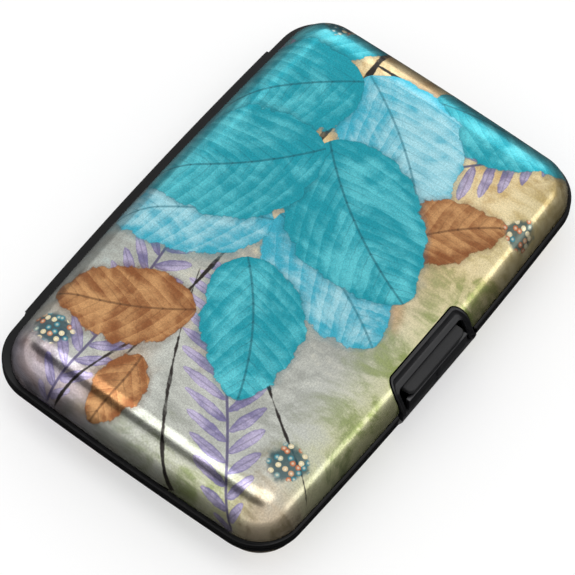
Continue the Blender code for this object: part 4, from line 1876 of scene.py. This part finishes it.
def frond_group() -> NodeTree:
    """Makes the group that paints one frond of narrow leaflets over a colour."""

    def draw(graph: Graph, given: dict[str, Signal]) -> dict[str, Signal]:
        """Draws the group."""
        along, across, share = from_foot(graph, given)
        bent = across - share * share * given["Bend"]
        side = bent.size()
        half_step = graph.math("SIGN", bent) * given["Pitch"] * 0.25
        start = along - side * 0.75 + half_step
        cell = (start / given["Pitch"]).fraction() - 0.5
        bulge = (start / given["Length"]).hump().at_least(0.0)
        out = side / (given["Reach"] * bulge ** 0.5 + 0.01)
        width = out.hump().at_least(0.0) ** 0.6 * given["Pitch"] * 0.37
        inside = width - cell.size() * given["Pitch"] + given["Wobble"] * 0.35
        leaflet = inside.ease(0.0, 0.3) * out.ease(0.98, 1.0, 1.0, 0.0) * bulge.ease(0.0, 0.05)
        stem = side.ease(0.16, 0.42, 1.0, 0.0) * share.ease(0.0, 0.02)
        stem = stem * share.ease(0.9, 1.0, 1.0, 0.0)
        mask = leaflet.at_least(stem)
        tone = given["Wash"] + out * 0.35 - 0.1 - inside.ease(0.0, 0.7, 0.25, 0.0)
        body = graph.blend(tone.ease(0.25, 0.9), given["Deep"], given["Pale"])
        lines = cell.size().ease(0.0, 0.07, 0.4, 0.0).at_least(stem * 0.7)
        inked = graph.blend(lines, body, given["Ink"])
        return {"Colour": graph.blend(mask * 0.92, given["Under"], inked)}

    inputs = MOTIF_INPUTS | TONE_INPUTS | {"Reach": "value", "Pitch": "value"}
    return make_group("frond", inputs, COLOUR_OUTPUT, draw)


def berry_group() -> NodeTree:
    """Makes the group that paints one cluster of small berries over a colour."""

    def draw(graph: Graph, given: dict[str, Signal]) -> dict[str, Signal]:
        """Draws the group."""
        along, across = graph.parts(graph.offset(given["Place"], given["Foot"]))
        away = (along * along + across * across) ** 0.5
        values = {"Vector": given["Place"], "Scale": 0.62, "Randomness": 0.75}
        cells = graph.put("ShaderNodeTexVoronoi", values, voronoi_dimensions="2D").outputs
        near = Signal(graph, cells["Distance"])
        split = graph.put("ShaderNodeSeparateColor", {0: Signal(graph, cells["Color"])})
        pick = Signal(graph, split.outputs[0])
        room = given["Radius"] - away + given["Wobble"]
        berry = near.ease(0.3, 0.42, 1.0, 0.0) * room.ease(0.2, 0.9)
        lit = near.ease(0.05, 0.3, 1.0, 0.0)
        first = graph.blend(pick.ease(0.3, 0.42), given["Deep"], given["Pale"])
        tint = graph.blend(pick.ease(0.66, 0.76), first, given["Warm"])
        round_tint = graph.blend(lit * 0.55, tint, paint("F1E7CF"))
        dark = graph.blend(room.ease(0.0, 1.6) * 0.85, given["Under"], given["Ink"])
        return {"Colour": graph.blend(berry * 0.95, dark, round_tint)}

    inputs = TONE_INPUTS | {
        "Under": "colour", "Place": "place", "Wobble": "value", "Foot": "place",
        "Radius": "value", "Warm": "colour", "Ink": "colour",
    }
    return make_group("berries", inputs, COLOUR_OUTPUT, draw)


def grain_group() -> NodeTree:
    """Makes the group for the fine grain of blasted metal and moulded plastic."""

    def draw(graph: Graph, given: dict[str, Signal]) -> dict[str, Signal]:
        """Draws the group."""
        fine = graph.noise(given["Place"], given["Scale"], 3.0, 0.65)
        broad = graph.noise(given["Place"], given["Scale"] * 0.045, 2.0, 0.5)
        height = fine * 0.8 + broad * 0.2
        tint = fine.ease(0.28, 0.72, -0.5, 0.5) * given["Contrast"] + 1.0
        return {"Height": height, "Tint": tint, "Mottle": broad.ease(0.3, 0.7)}

    return make_group(
        "grain",
        {"Place": "place", "Scale": "value", "Contrast": "value"},
        {"Height": "value", "Tint": "value", "Mottle": "value"},
        draw,
    )


class Pigment(Enum):
    """The paints of the print: deep tone, pale tone and ink line."""

    TURQUOISE = ("0F8C9B", "58BCC6", "0A5663")
    SKY = ("36A0B6", "9CCED8", "22707F")
    OCHRE = ("834F2A", "C0905F", "563318")
    LAVENDER = ("6A638C", "B3A9C6", "433D5A")
    TWIG = ("241F1B", "241F1B", "241F1B")

    def tones(self) -> dict[str, Colour]:
        """The paint's colours by the names of a group's inputs."""
        deep, pale, ink = (paint(code) for code in self.value)
        return {"Deep": deep, "Pale": pale, "Ink": ink}


@dataclass(frozen=True)
class Leaf:
    """A broad leaf of the print, in millimetres and degrees.

    Attributes:
        x: X of its foot.
        y: Y of its foot.
        heading: which way it points, from +X towards +Y.
        length: from foot to tip.
        width: across.
        bend: how far its middle bends aside.
        pigment: its paint.
        tone: how much lighter than the rest.
    """

    x: float
    y: float
    heading: float
    length: float
    width: float
    bend: float
    pigment: Pigment
    tone: float = 0.0


@dataclass(frozen=True)
class Twig:
    """A thin curved twig of the print, in millimetres and degrees.

    Attributes:
        x: X of its foot.
        y: Y of its foot.
        heading: which way it points.
        length: from foot to tip.
        bend: how far its tip bends aside.
        width: at its foot.
    """

    x: float
    y: float
    heading: float
    length: float
    bend: float
    width: float


@dataclass(frozen=True)
class Frond:
    """A frond of narrow leaflets, in millimetres and degrees.

    Attributes:
        x: X of its foot.
        y: Y of its foot.
        heading: which way it points.
        length: from foot to tip.
        bend: how far its tip bends aside.
        reach: how far a leaflet reaches from the stem.
        pitch: from one leaflet to the next.
        pigment: its paint.
    """

    x: float
    y: float
    heading: float
    length: float
    bend: float
    reach: float
    pitch: float
    pigment: Pigment


@dataclass(frozen=True)
class Berries:
    """A cluster of berries, in millimetres.

    Attributes:
        x: X of its middle.
        y: Y of its middle.
        radius: of the cluster.
    """

    x: float
    y: float
    radius: float


def course(motif: Leaf | Twig | Frond) -> dict[str, object]:
    """Where a motif stands and how it runs, by the names of its group's inputs."""
    return {
        "Foot": (motif.x, motif.y, 0.0), "Heading": math.radians(motif.heading),
        "Length": motif.length, "Bend": motif.bend,
    }


TEAL, SKY, OCHRE, LAVENDER = Pigment.TURQUOISE, Pigment.SKY, Pigment.OCHRE, Pigment.LAVENDER


@dataclass(frozen=True)
class BotanicalPrint:
    """The print on the shells: broad leaves, fronds, twigs and berries on a pale wash, with a
    painted dark reflection that darkens it towards the rim.

    Attributes:
        fronds: painted first.
        twigs: painted next.
        leaves: painted over them, in order.
        berries: painted last.
        flat: half length and half width of the shell's flat top, in millimetres.
        middle: Y of the flat top's middle, in millimetres.
    """

    fronds: tuple[Frond, ...] = (
        Frond(-58.0, -27.0, 31.0, 58.0, 9.0, 8.5, 4.6, LAVENDER),
        Frond(-58.0, 20.0, -6.0, 50.0, 7.0, 8.0, 4.4, LAVENDER),
        Frond(57.0, -30.0, 148.0, 44.0, -8.0, 8.0, 4.2, LAVENDER),
        Frond(4.0, 41.0, -12.0, 50.0, -7.0, 7.5, 4.0, LAVENDER),
    )
    twigs: tuple[Twig, ...] = (
        Twig(60.0, 15.0, 187.0, 100.0, -9.0, 0.85),
        Twig(-24.0, 7.5, 152.0, 36.0, 7.0, 0.5),
        Twig(-8.0, 6.0, 222.0, 54.0, 10.0, 0.5),
        Twig(-58.0, -12.0, 38.0, 50.0, -8.0, 0.5),
        Twig(47.0, 14.0, -90.0, 20.0, 0.5, 0.5),
    )
    leaves: tuple[Leaf, ...] = (
        Leaf(47.0, -1.0, -78.0, 34.0, 22.0, 1.5, TEAL, 0.05),
        Leaf(-22.0, 7.0, 118.0, 29.0, 18.0, 1.5, OCHRE, 0.04),
        Leaf(54.0, 14.5, 112.0, 25.0, 18.0, -1.4, TEAL, 0.04),
        Leaf(44.0, 13.0, -128.0, 38.0, 25.0, 2.0, SKY, 0.06),
        Leaf(42.0, 13.0, 138.0, 36.0, 25.0, -2.0, TEAL, -0.04),
        Leaf(13.0, -14.0, -42.0, 25.0, 15.0, 1.4, OCHRE, 0.02),
        Leaf(6.0, 7.5, -112.0, 36.0, 24.0, 2.0, SKY, 0.0),
        Leaf(4.0, 7.5, 124.0, 33.0, 22.0, -1.8, SKY, 0.1),
        Leaf(26.0, 10.0, -122.0, 41.0, 28.0, -2.2, TEAL, -0.02),
        Leaf(24.0, 9.5, 132.0, 39.0, 27.0, 2.2, TEAL, 0.02),
        Leaf(-6.0, 6.5, -146.0, 33.0, 21.0, 2.0, TEAL, 0.02),
        Leaf(-37.0, 9.0, 178.0, 18.0, 10.5, 0.8, OCHRE, 0.1),
    )
    berries: tuple[Berries, ...] = (
        Berries(-38.0, -28.0, 4.6),
        Berries(-43.0, 27.0, 4.2),
        Berries(33.0, -34.0, 4.0),
        Berries(52.0, 26.0, 4.2),
    )
    flat: tuple[float, float] = (44.75, 26.55)
    middle: float = -0.7

    def ground(self, graph: Graph, place: Signal, wash: Signal) -> Signal:
        """Paints the washes under the motifs.

        Args:
            graph: the tree to draw in.
            place: on the print, in millimetres.
            wash: the mottling of the paint.

        Returns:
            The colour.
        """

        def mottled(deep: str, pale: str, low: float = 0.3, high: float = 0.7) -> Signal:
            """Mottles one paint."""
            return graph.blend(wash.ease(low, high), paint(deep), paint(pale))

        along, across = graph.parts(place)
        drift = (wash - 0.5) * 30.0
        grey = mottled("989A93", "B6B8B0", 0.2, 0.8)
        sand = mottled("C4A673", "DFCDA2", 0.2, 0.8)
        colour = graph.blend((along + drift).ease(-18.0, 24.0), grey, sand)
        moss = mottled("8C9856", "CBCB9A")
        latch = (across + drift * 0.4).ease(-37.0, -21.0, 0.95, 0.0)
        latch = latch * (along + drift).ease(-52.0, -20.0, 0.6, 1.0)
        latch = latch * (along + drift).ease(2.0, 30.0, 1.0, 0.3)
        colour = graph.blend(latch, colour, moss)
        far = (along + drift * 0.3).ease(38.0, 56.0, 0.0, 0.7)
        colour = graph.blend(far, colour, mottled("8F7348", "D9C79C"))
        end = (along + drift * 0.2).ease(-53.0, -43.0, 0.85, 0.0)
        colour = graph.blend(end * (across + drift).ease(-30.0, 6.0, 1.0, 0.1), colour, moss)
        dusk = (along + drift * 0.3).ease(-48.0, -34.0, 0.75, 0.0)
        dusk = dusk * (across + drift * 0.3).ease(-30.0, -20.0, 1.0, 0.0)
        colour = graph.blend(dusk, colour, mottled("8E7660", "C4AE98"))
        mauve = (along + drift * 0.3).ease(-50.0, -40.0, 0.7, 0.0)
        mauve = mauve * (across + drift * 0.3).ease(4.0, 20.0, 0.0, 1.0)
        colour = graph.blend(mauve, colour, mottled("6F6378", "A79CB0"))
        cold = (across + drift * 0.3).ease(24.0, 37.0, 0.0, 0.85)
        colour = graph.blend(cold * (along + drift).ease(-30.0, 12.0), colour, paint("2D9FB2"))
        tan = graph.noise(place, 0.035, 3.0, 0.6, 0.6).ease(0.56, 0.72, 0.0, 0.6)
        return graph.blend(tan, colour, paint("B98A5B"))

    def rim(self, graph: Graph, place: Signal) -> Signal:
        """Finds how near a place is to the shell's edge, for the painted dark reflection there.

        Args:
            graph: the tree to draw in.
            place: on the print, in millimetres.

        Returns:
            How far it is out from the flat top, in millimetres.
        """
        along, across = graph.parts(place)
        ahead = (along.size() - self.flat[0]).at_least(0.0)
        aside = ((across - self.middle).size() - self.flat[1]).at_least(0.0)
        return (ahead * ahead + aside * aside) ** 0.5

    def paint_on(self, graph: Graph, place: Signal) -> Signal:
        """Paints the whole print, and over it a painted dark reflection that darkens it towards the
        shell's rim.

        Args:
            graph: the tree to draw in.
            place: on the print, in millimetres.

        Returns:
            The print's colour, with the painted dark reflection.
        """
        wash = graph.noise(place, 0.075, 6.0, 0.62, 1.1).ease(0.24, 0.76)
        streak = graph.noise(graph.spread(place, (1.0, 0.35, 1.0)), 0.5, 4.0, 0.6, 0.4)
        wash = wash * 0.72 + streak.ease(0.25, 0.75) * 0.28
        coarse = graph.noise(place, 0.2, 2.0, 0.5) - 0.5
        wobble = coarse * 4.4 + (graph.noise(place, 0.95, 3.0, 0.6) - 0.5) * 1.5
        colour = self.ground(graph, place, wash)
        shared = {"Place": place, "Wobble": wobble, "Wash": wash}
        for frond in self.fronds:
            own = frond.pigment.tones() | {"Reach": frond.reach, "Pitch": frond.pitch}
            values = shared | course(frond) | own | {"Under": colour}
            colour = graph.use(frond_group(), values)["Colour"]
        for twig in self.twigs:
            own = {"Width": twig.width, "Ink": Pigment.TWIG.tones()["Ink"]}
            values = shared | course(twig) | own | {"Under": colour}
            colour = graph.use(twig_group(), values)["Colour"]
        for leaf in self.leaves:
            own = leaf.pigment.tones() | {"Width": leaf.width, "Tone": leaf.tone}
            values = shared | course(leaf) | own | {"Under": colour}
            colour = graph.use(leaf_group(), values)["Colour"]
        for cluster in self.berries:
            values = {
                "Under": colour, "Place": place, "Wobble": wobble, "Radius": cluster.radius,
                "Foot": (cluster.x, cluster.y, 0.0), "Deep": paint("1D7C8C"),
                "Pale": paint("DDCFA8"), "Warm": paint("B9683A"), "Ink": paint("15454F"),
            }
            colour = graph.use(berry_group(), values)["Colour"]
        # Painted dark reflection: the print darkens towards the shell's rim, standing in for the
        # dark surroundings that the edge mirrors near the frame.
        shade = (self.rim(graph, place) + coarse * 2.0).ease(8.5, 13.0, 0.0, 0.4)
        return graph.blend(shade, colour, paint("2B2416"))


def new_material(name: str) -> tuple[Material, Graph, Node]:
    """Makes an empty Principled material.

    Args:
        name: of the material.

    Returns:
        The material, its graph and its shader.
    """
    material = bpy.data.materials.new(name)
    material.use_nodes = True
    return material, Graph(material.node_tree), material.node_tree.nodes["Principled BSDF"]


@dataclass(frozen=True)
class PrintedAluminium:
    """Satin aluminium sheet with the print under a thin clear coat.

    Attributes:
        metallic: how metallic the inked sheet looks.
        roughness: of the blasted surface.
        grain_scale: grains in one print unit.
        grain_contrast: how much the grain shows in the colour.
        grain_height: depth of the grain.
        grain_felt: how much of that depth is felt.
        mottle: how much the roughness varies.
        coat: weight of the clear coat.
        coat_roughness: of that coat.
    """

    metallic: float = 0.82
    roughness: float = 0.15
    grain_scale: float = 260.0
    grain_contrast: float = 0.28
    grain_height: float = 0.02 * MM
    grain_felt: float = 0.5
    mottle: float = 0.05
    coat: float = 0.18
    coat_roughness: float = 0.22

    def build(self) -> Material:
        """Makes the material."""
        material, graph, shader = new_material("printed_aluminium")
        unrolled = Signal(graph, graph.put("ShaderNodeUVMap", uv_map=PRINT_MAP).outputs[0])
        millimetres = PRINT_UNIT / MM
        place = graph.spread(unrolled, (millimetres, millimetres, 0.0))
        colour = BotanicalPrint().paint_on(graph, place)
        values = {"Place": unrolled, "Scale": self.grain_scale, "Contrast": self.grain_contrast}
        grain = graph.use(grain_group(), values)
        grained = graph.blend(1.0, colour, grain["Tint"], "MULTIPLY")
        graph.feed(
            shader,
            {
                "Base Color": grained,
                "Metallic": self.metallic,
                "Roughness": grain["Mottle"] * self.mottle + self.roughness,
                "Normal": graph.bump(grain["Height"], self.grain_height, self.grain_felt),
                "Coat Weight": self.coat,
                "Coat Roughness": self.coat_roughness,
            },
        )
        return material


@dataclass(frozen=True)
class MouldedPlastic:
    """Moulded plastic with a fine grain.

    Attributes:
        name: of the material.
        colour: of the plastic.
        worn: colour where it is lightly rubbed.
        roughness: of the surface.
        grain_scale: grains in a metre.
        grain_height: depth of the grain.
        specular: how strongly it mirrors.
        grain_contrast: how much the grain shows in the colour.
        grain_felt: how much of its depth is felt.
        wear_scale: rubbed patches in a metre.
        wear: how far they take the rubbed colour.
    """

    name: str
    colour: str
    worn: str
    roughness: float
    grain_scale: float
    grain_height: float
    specular: float = 0.22
    grain_contrast: float = 0.25
    grain_felt: float = 0.4
    wear_scale: float = 90.0
    wear: float = 0.6

    def build(self) -> Material:
        """Makes the material."""
        material, graph, shader = new_material(self.name)
        place = graph.object_place()
        values = {"Place": place, "Scale": self.grain_scale, "Contrast": self.grain_contrast}
        grain = graph.use(grain_group(), values)
        rubbed = graph.noise(place, self.wear_scale, 4.0, 0.6, 0.5).ease(0.48, 0.75)
        colour = graph.blend(rubbed * self.wear, paint(self.colour), paint(self.worn))
        graph.feed(
            shader,
            {
                "Base Color": graph.blend(1.0, colour, grain["Tint"], "MULTIPLY"),
                "Roughness": grain["Mottle"] * 0.08 + rubbed * 0.06 + self.roughness,
                "Normal": graph.bump(grain["Height"], self.grain_height, self.grain_felt),
                "Specular IOR Level": self.specular,
            },
        )
        return material


@dataclass(frozen=True)
class DrawnSteel:
    """Bright steel wire and strip, with lines along X.

    Attributes:
        colour: of the steel.
        line_colour: of the drawn lines.
        stain_colour: of faint stains.
        roughness: of the surface.
        line_scale: lines in a metre along X, Y and Z.
        line_height: depth of a line.
        stain_scale: stains in a metre.
    """

    colour: str = "B9BBBE"
    line_colour: str = "8C8E92"
    stain_colour: str = "8E8A84"
    roughness: float = 0.26
    line_scale: tuple[float, float, float] = (60.0, 6000.0, 6000.0)
    line_height: float = 0.004 * MM
    stain_scale: float = 220.0

    def build(self) -> Material:
        """Makes the material."""
        material, graph, shader = new_material("steel")
        place = graph.object_place()
        lines = graph.noise(graph.spread(place, self.line_scale), 1.0, 3.0, 0.6)
        stain = graph.noise(place, self.stain_scale, 3.0, 0.6).ease(0.4, 0.75)
        colour = graph.blend(stain * 0.3, paint(self.colour), paint(self.stain_colour))
        colour = graph.blend(lines.ease(0.3, 0.7) * 0.25, colour, paint(self.line_colour))
        graph.feed(
            shader,
            {
                "Base Color": colour,
                "Metallic": 1.0,
                "Roughness": lines * 0.12 + stain * 0.08 + self.roughness,
                "Normal": graph.bump(lines, self.line_height, 0.4),
            },
        )
        return material


@dataclass(frozen=True)
class View:
    """The camera that the photograph was taken with.

    Attributes:
        heading: where it looks, in degrees from +X towards +Y.
        pitch: how far down it looks, in degrees.
        roll: its turn about its own axis, in degrees.
        distance: from the camera to its target.
        target: the point on its axis, from the modelling frame's origin.
        focal_pixels: focal length in the photograph's pixels.
        picture_width: of the photograph, in pixels.
        sensor: width of the sensor in millimetres.
        clip: nearest and furthest distance that it sees.
    """

    heading: float = 34.881
    pitch: float = 60.058
    roll: float = 2.832
    distance: float = 749.0 * MM
    target: tuple[float, float, float] = (-1.793 * MM, -0.618 * MM, -1.051 * MM)
    focal_pixels: float = 3683.8
    picture_width: float = 575.0
    sensor: float = 36.0
    clip: Span = (0.05, 20.0)

    def build(self, origin: Vector) -> None:
        """Makes the camera.

        Args:
            origin: where the modelling frame lies.
        """
        heading, pitch, roll = (math.radians(a) for a in (self.heading, self.pitch, self.roll))
        data = bpy.data.cameras.new("camera")
        data.sensor_width = self.sensor
        data.lens = self.focal_pixels * self.sensor / self.picture_width
        data.clip_start, data.clip_end = self.clip
        camera = add_object("camera", data)
        aim = (
            Matrix.Rotation(heading - QUARTER, 4, "Z")
            @ Matrix.Rotation(QUARTER - pitch, 4, "X")
            @ Matrix.Rotation(roll, 4, "Z")
        )
        back = aim.to_3x3() @ Vector((0.0, 0.0, self.distance))
        camera.matrix_world = Matrix.Translation(origin + Vector(self.target) + back) @ aim
        bpy.context.scene.camera = camera


@dataclass(frozen=True)
class Stand:
    """Where a lamp or a sheet stands, facing the case.

    Attributes:
        way: direction from the case.
        distance: from the case.
        size: width and height.
        turn: about its own axis, in degrees.
    """

    way: tuple[float, float, float]
    distance: float
    size: tuple[float, float]
    turn: float = 0.0

    def hold(self, thing: Object) -> None:
        """Puts a lamp or a sheet here.

        Args:
            thing: the lamp or sheet.
        """
        place = Vector(self.way).normalized() * self.distance
        facing = (-place).to_track_quat("-Z", "Y").to_matrix().to_4x4()
        turned = Matrix.Rotation(math.radians(self.turn), 4, "Z")
        thing.matrix_world = Matrix.Translation(place) @ facing @ turned


def seen_directly(graph: Graph) -> Signal:
    """Tells the rays that see the background from those that light things.

    Args:
        graph: the tree to draw in.

    Returns:
        1 for a ray from the camera, a reflection or a transmission, and 0 for others.
    """
    rays = graph.put("ShaderNodeLightPath").outputs
    seen = Signal(graph, rays["Is Camera Ray"]).at_least(Signal(graph, rays["Is Glossy Ray"]))
    return seen.at_least(Signal(graph, rays["Is Transmission Ray"]))


def stage_piece(name: str, mesh: BMesh) -> tuple[Object, Graph, Node]:
    """Makes a piece of the studio, which isn't part of the case.

    Args:
        name: of the piece.
        mesh: its shape, which is freed.

    Returns:
        The piece, its material's graph and its shader.
    """
    piece = add_mesh(name, mesh)
    material, graph, shader = new_material(name)
    piece.data.materials.append(material)
    return piece, graph, shader


@dataclass(frozen=True)
class StagePaint:
    """Matt grey of a studio piece, which may change away from its middle.

    Attributes:
        middle: grey in the middle.
        rim: grey further out.
        change: the distances from the middle between which it changes.
        behind: grey behind the hinge, where that is paler.
        lift: how far the camera sees it as pure white, which softens a shadow on it.
        clear_below: whether a camera under it looks through it.
        behind_reach: the Y between which that paler grey sets in.
    """

    middle: float
    rim: float
    change: tuple[float, float] = (0.1, 1.0)
    behind: float = 0.0
    lift: float = 0.0
    clear_below: bool = False
    behind_reach: Span = (0.03, 0.07)

    def dress(self, name: str, mesh: BMesh) -> Object:
        """Makes a painted piece of the studio.

        Args:
            name: of the piece.
            mesh: its shape, which is freed.

        Returns:
            The piece.
        """
        piece, graph, shader = stage_piece(name, mesh)
        along, across = graph.parts(graph.object_place())
        away = (along * along + across * across) ** 0.5
        behind = across.ease(*self.behind_reach, 0.0, self.behind)
        grey = away.ease(*self.change, self.middle, self.rim).at_least(behind)
        glow = seen_directly(graph) * self.lift
        shader.inputs["Emission Strength"].default_value = 1.0
        painted = grey * glow.rest()
        values = {"Base Color": painted, "Roughness": STAGE_ROUGHNESS, "Emission Color": glow}
        graph.feed(shader, values)
        if self.clear_below:
            below = Signal(graph, graph.put("ShaderNodeNewGeometry").outputs["Backfacing"])
            graph.feed(shader, {"Alpha": below.rest()})
        return piece


@dataclass(frozen=True)
class Softbox:
    """A bright or dark sheet that the case reflects, and which fades out towards its rim.

    Attributes:
        name: of the sheet.
        brightness: of its face, where white is 1.
        stand: where it is.
        fade: shares of its half width and half height over which it fades.
        lamp: brightness of the lamp in it that lights the case, if it has one.
    """

    name: str
    brightness: float
    stand: Stand
    fade: tuple[float, float]
    lamp: float = 0.0

    def build(self) -> None:
        """Makes the sheet and its lamp."""
        mesh = bmesh.new()
        bmesh.ops.create_grid(mesh, x_segments=1, y_segments=1, size=0.5)
        bmesh.ops.scale(mesh, vec=(*self.stand.size, 1.0), verts=mesh.verts[:])
        sheet, graph, shader = stage_piece(self.name, mesh)
        shown: Value = 1.0
        for part, size, fade in zip(graph.parts(graph.object_place()), self.stand.size, self.fade):
            shown = part.size().ease(size / 2 * (1.0 - fade), size / 2, 1.0, 0.0) * shown
        values = {
            "Base Color": paint("000000"), "Specular IOR Level": 0.0, "Alpha": shown,
            "Emission Color": paint("FFFFFF"), "Emission Strength": self.brightness,
        }
        graph.feed(shader, values)
        only_reflected(sheet)
        self.stand.hold(sheet)
        if not self.lamp:
            return
        lamp = bpy.data.lights.new(self.name, "AREA")
        lamp.shape = "RECTANGLE"
        lamp.size, lamp.size_y = self.stand.size
        lamp.energy = LAMP_WATTS * self.lamp * lamp.size * lamp.size_y
        thing = add_object(self.name, lamp)
        thing.visible_glossy = False
        self.stand.hold(thing)


def only_reflected(piece: Object) -> None:
    """Hides a studio piece from all but reflections.

    Args:
        piece: the piece.
    """
    piece.visible_camera = piece.visible_shadow = piece.visible_diffuse = False


@dataclass(frozen=True)
class Studio:
    """Floor, ring, sheets and world.

    Attributes:
        floor_size: side of the floor.
        floor_paint: its paint.
        ambient: brightness of the world's soft light.
        ring_length: half length of the low dark ring round the case, at its foot and its top.
        ring_width: its width over its length.
        ring_height: of that ring.
        ring_sides: faces round it.
        ring_paint: its paint.
        sheets: the bright and dark sheets.
    """

    floor_size: float = 6.0
    floor_paint: StagePaint = StagePaint(0.98, 1.0, lift=0.45, clear_below=True)
    ambient: float = 0.88
    ring_length: tuple[float, float] = (0.05, 0.5)
    ring_width: float = 0.75
    ring_height: float = 0.08
    ring_sides: int = 48
    ring_paint: StagePaint = StagePaint(0.03, 0.35, (0.055, 0.16), 0.28)
    sheets: tuple[Softbox, ...] = (
        Softbox(
            "overhead", 3.0, Stand((0.039, 0.0105, 1.0), 1.237, (0.54, 1.95), 74.9),
            (0.18, 0.5), 0.95,
        ),
        Softbox("front", 2.05, Stand((0.42, -0.88, 0.23), 1.2, (0.85, 0.52), -7.0), (0.55, 0.3)),
        Softbox("right", 1.95, Stand((0.79, 0.285, 0.55), 1.3, (1.6, 1.02), -11.0), (0.6, 0.15)),
        Softbox("left", 1.45, Stand((-0.74, 0.285, 0.61), 1.2, (0.85, 0.54), 13.0), (0.55, 0.3)),
        Softbox("shade", 0.05, Stand((-0.36, 0.285, 0.887), 1.0, (2.3, 0.36), 35.0), (0.5, 0.2)),
    )

    def build(self) -> None:
        """Makes the floor, the ring, the sheets and the world."""
        mesh = bmesh.new()
        bmesh.ops.create_grid(mesh, x_segments=1, y_segments=1, size=self.floor_size / 2)
        self.floor_paint.dress("floor", mesh)
        mesh = bmesh.new()
        foot, top = self.ring_length
        raised = Matrix.Translation((0.0, 0.0, self.ring_height / 2 + MM))
        bmesh.ops.create_cone(
            mesh,
            segments=self.ring_sides,
            radius1=foot,
            radius2=top,
            depth=self.ring_height,
            matrix=raised,
        )
        bmesh.ops.scale(mesh, vec=(1.0, self.ring_width, 1.0), verts=mesh.verts[:])
        only_reflected(self.ring_paint.dress("ring", mesh))
        for sheet in self.sheets:
            sheet.build()
        world = bpy.data.worlds.new("studio")
        world.use_nodes = True
        graph = Graph(world.node_tree)
        seen = seen_directly(graph)
        background = world.node_tree.nodes["Background"]
        background.inputs["Color"].default_value = paint("FFFFFF")
        graph.feed(background, {"Strength": seen * (1.0 - self.ambient) + self.ambient})
        bpy.context.scene.world = world


def main() -> None:
    """Builds the whole scene."""
    logging.basicConfig(level=logging.INFO, format="%(name)s %(message)s")
    bpy.context.scene.view_settings.view_transform = "Standard"
    case = CaseOutline()
    shop = Workshop(in_modelling_frame())
    face = LatchFace(case)
    printed = PrintedAluminium().build()
    shells = Shells(case, face)
    hinge = Hinge(case)
    latch = Latch(case, face)
    trays = Trays(case, face, hinge)
    fine = 0.012 * MM
    black = MouldedPlastic("black_plastic", "060607", "0D0D0F", 0.2, 5200.0, fine, 0.18).build()
    # The latch surrounds get a copy of the black plastic: its higher gloss is real, and its paler
    # colour is a painted sheen.
    glossy_plastic_with_painted_sheen = MouldedPlastic("latch_plastic", "0E0E11", "18181C", 0.3, 5200.0, fine, 0.5).build()
    matte = MouldedPlastic("button_plastic", "242425", "2E2E2F", 0.56, 3600.0, 0.03 * MM).build()
    film = MouldedPlastic("pocket_film", "121214", "1B1B1E", 0.4, 2600.0, 0.015 * MM).build()
    steel = DrawnSteel().build()
    for side in Side:
        shells.build(side, shop, printed)
    ceiling = case.half_thickness - trays.shell_room - trays.wall
    trays.build(Side.BACK, shop, black)
    trays.build(Side.LID, shop, black, [latch.spring_stop(ceiling + trays.wall / 2)])
    hinge.build(shop, steel)
    latch.build(shop, glossy_plastic_with_painted_sheen, matte, steel)
    Pockets(case).build(shop, film)
    View().build(shop.origin)
    Studio().build()


if __name__ == "__main__":
    main()
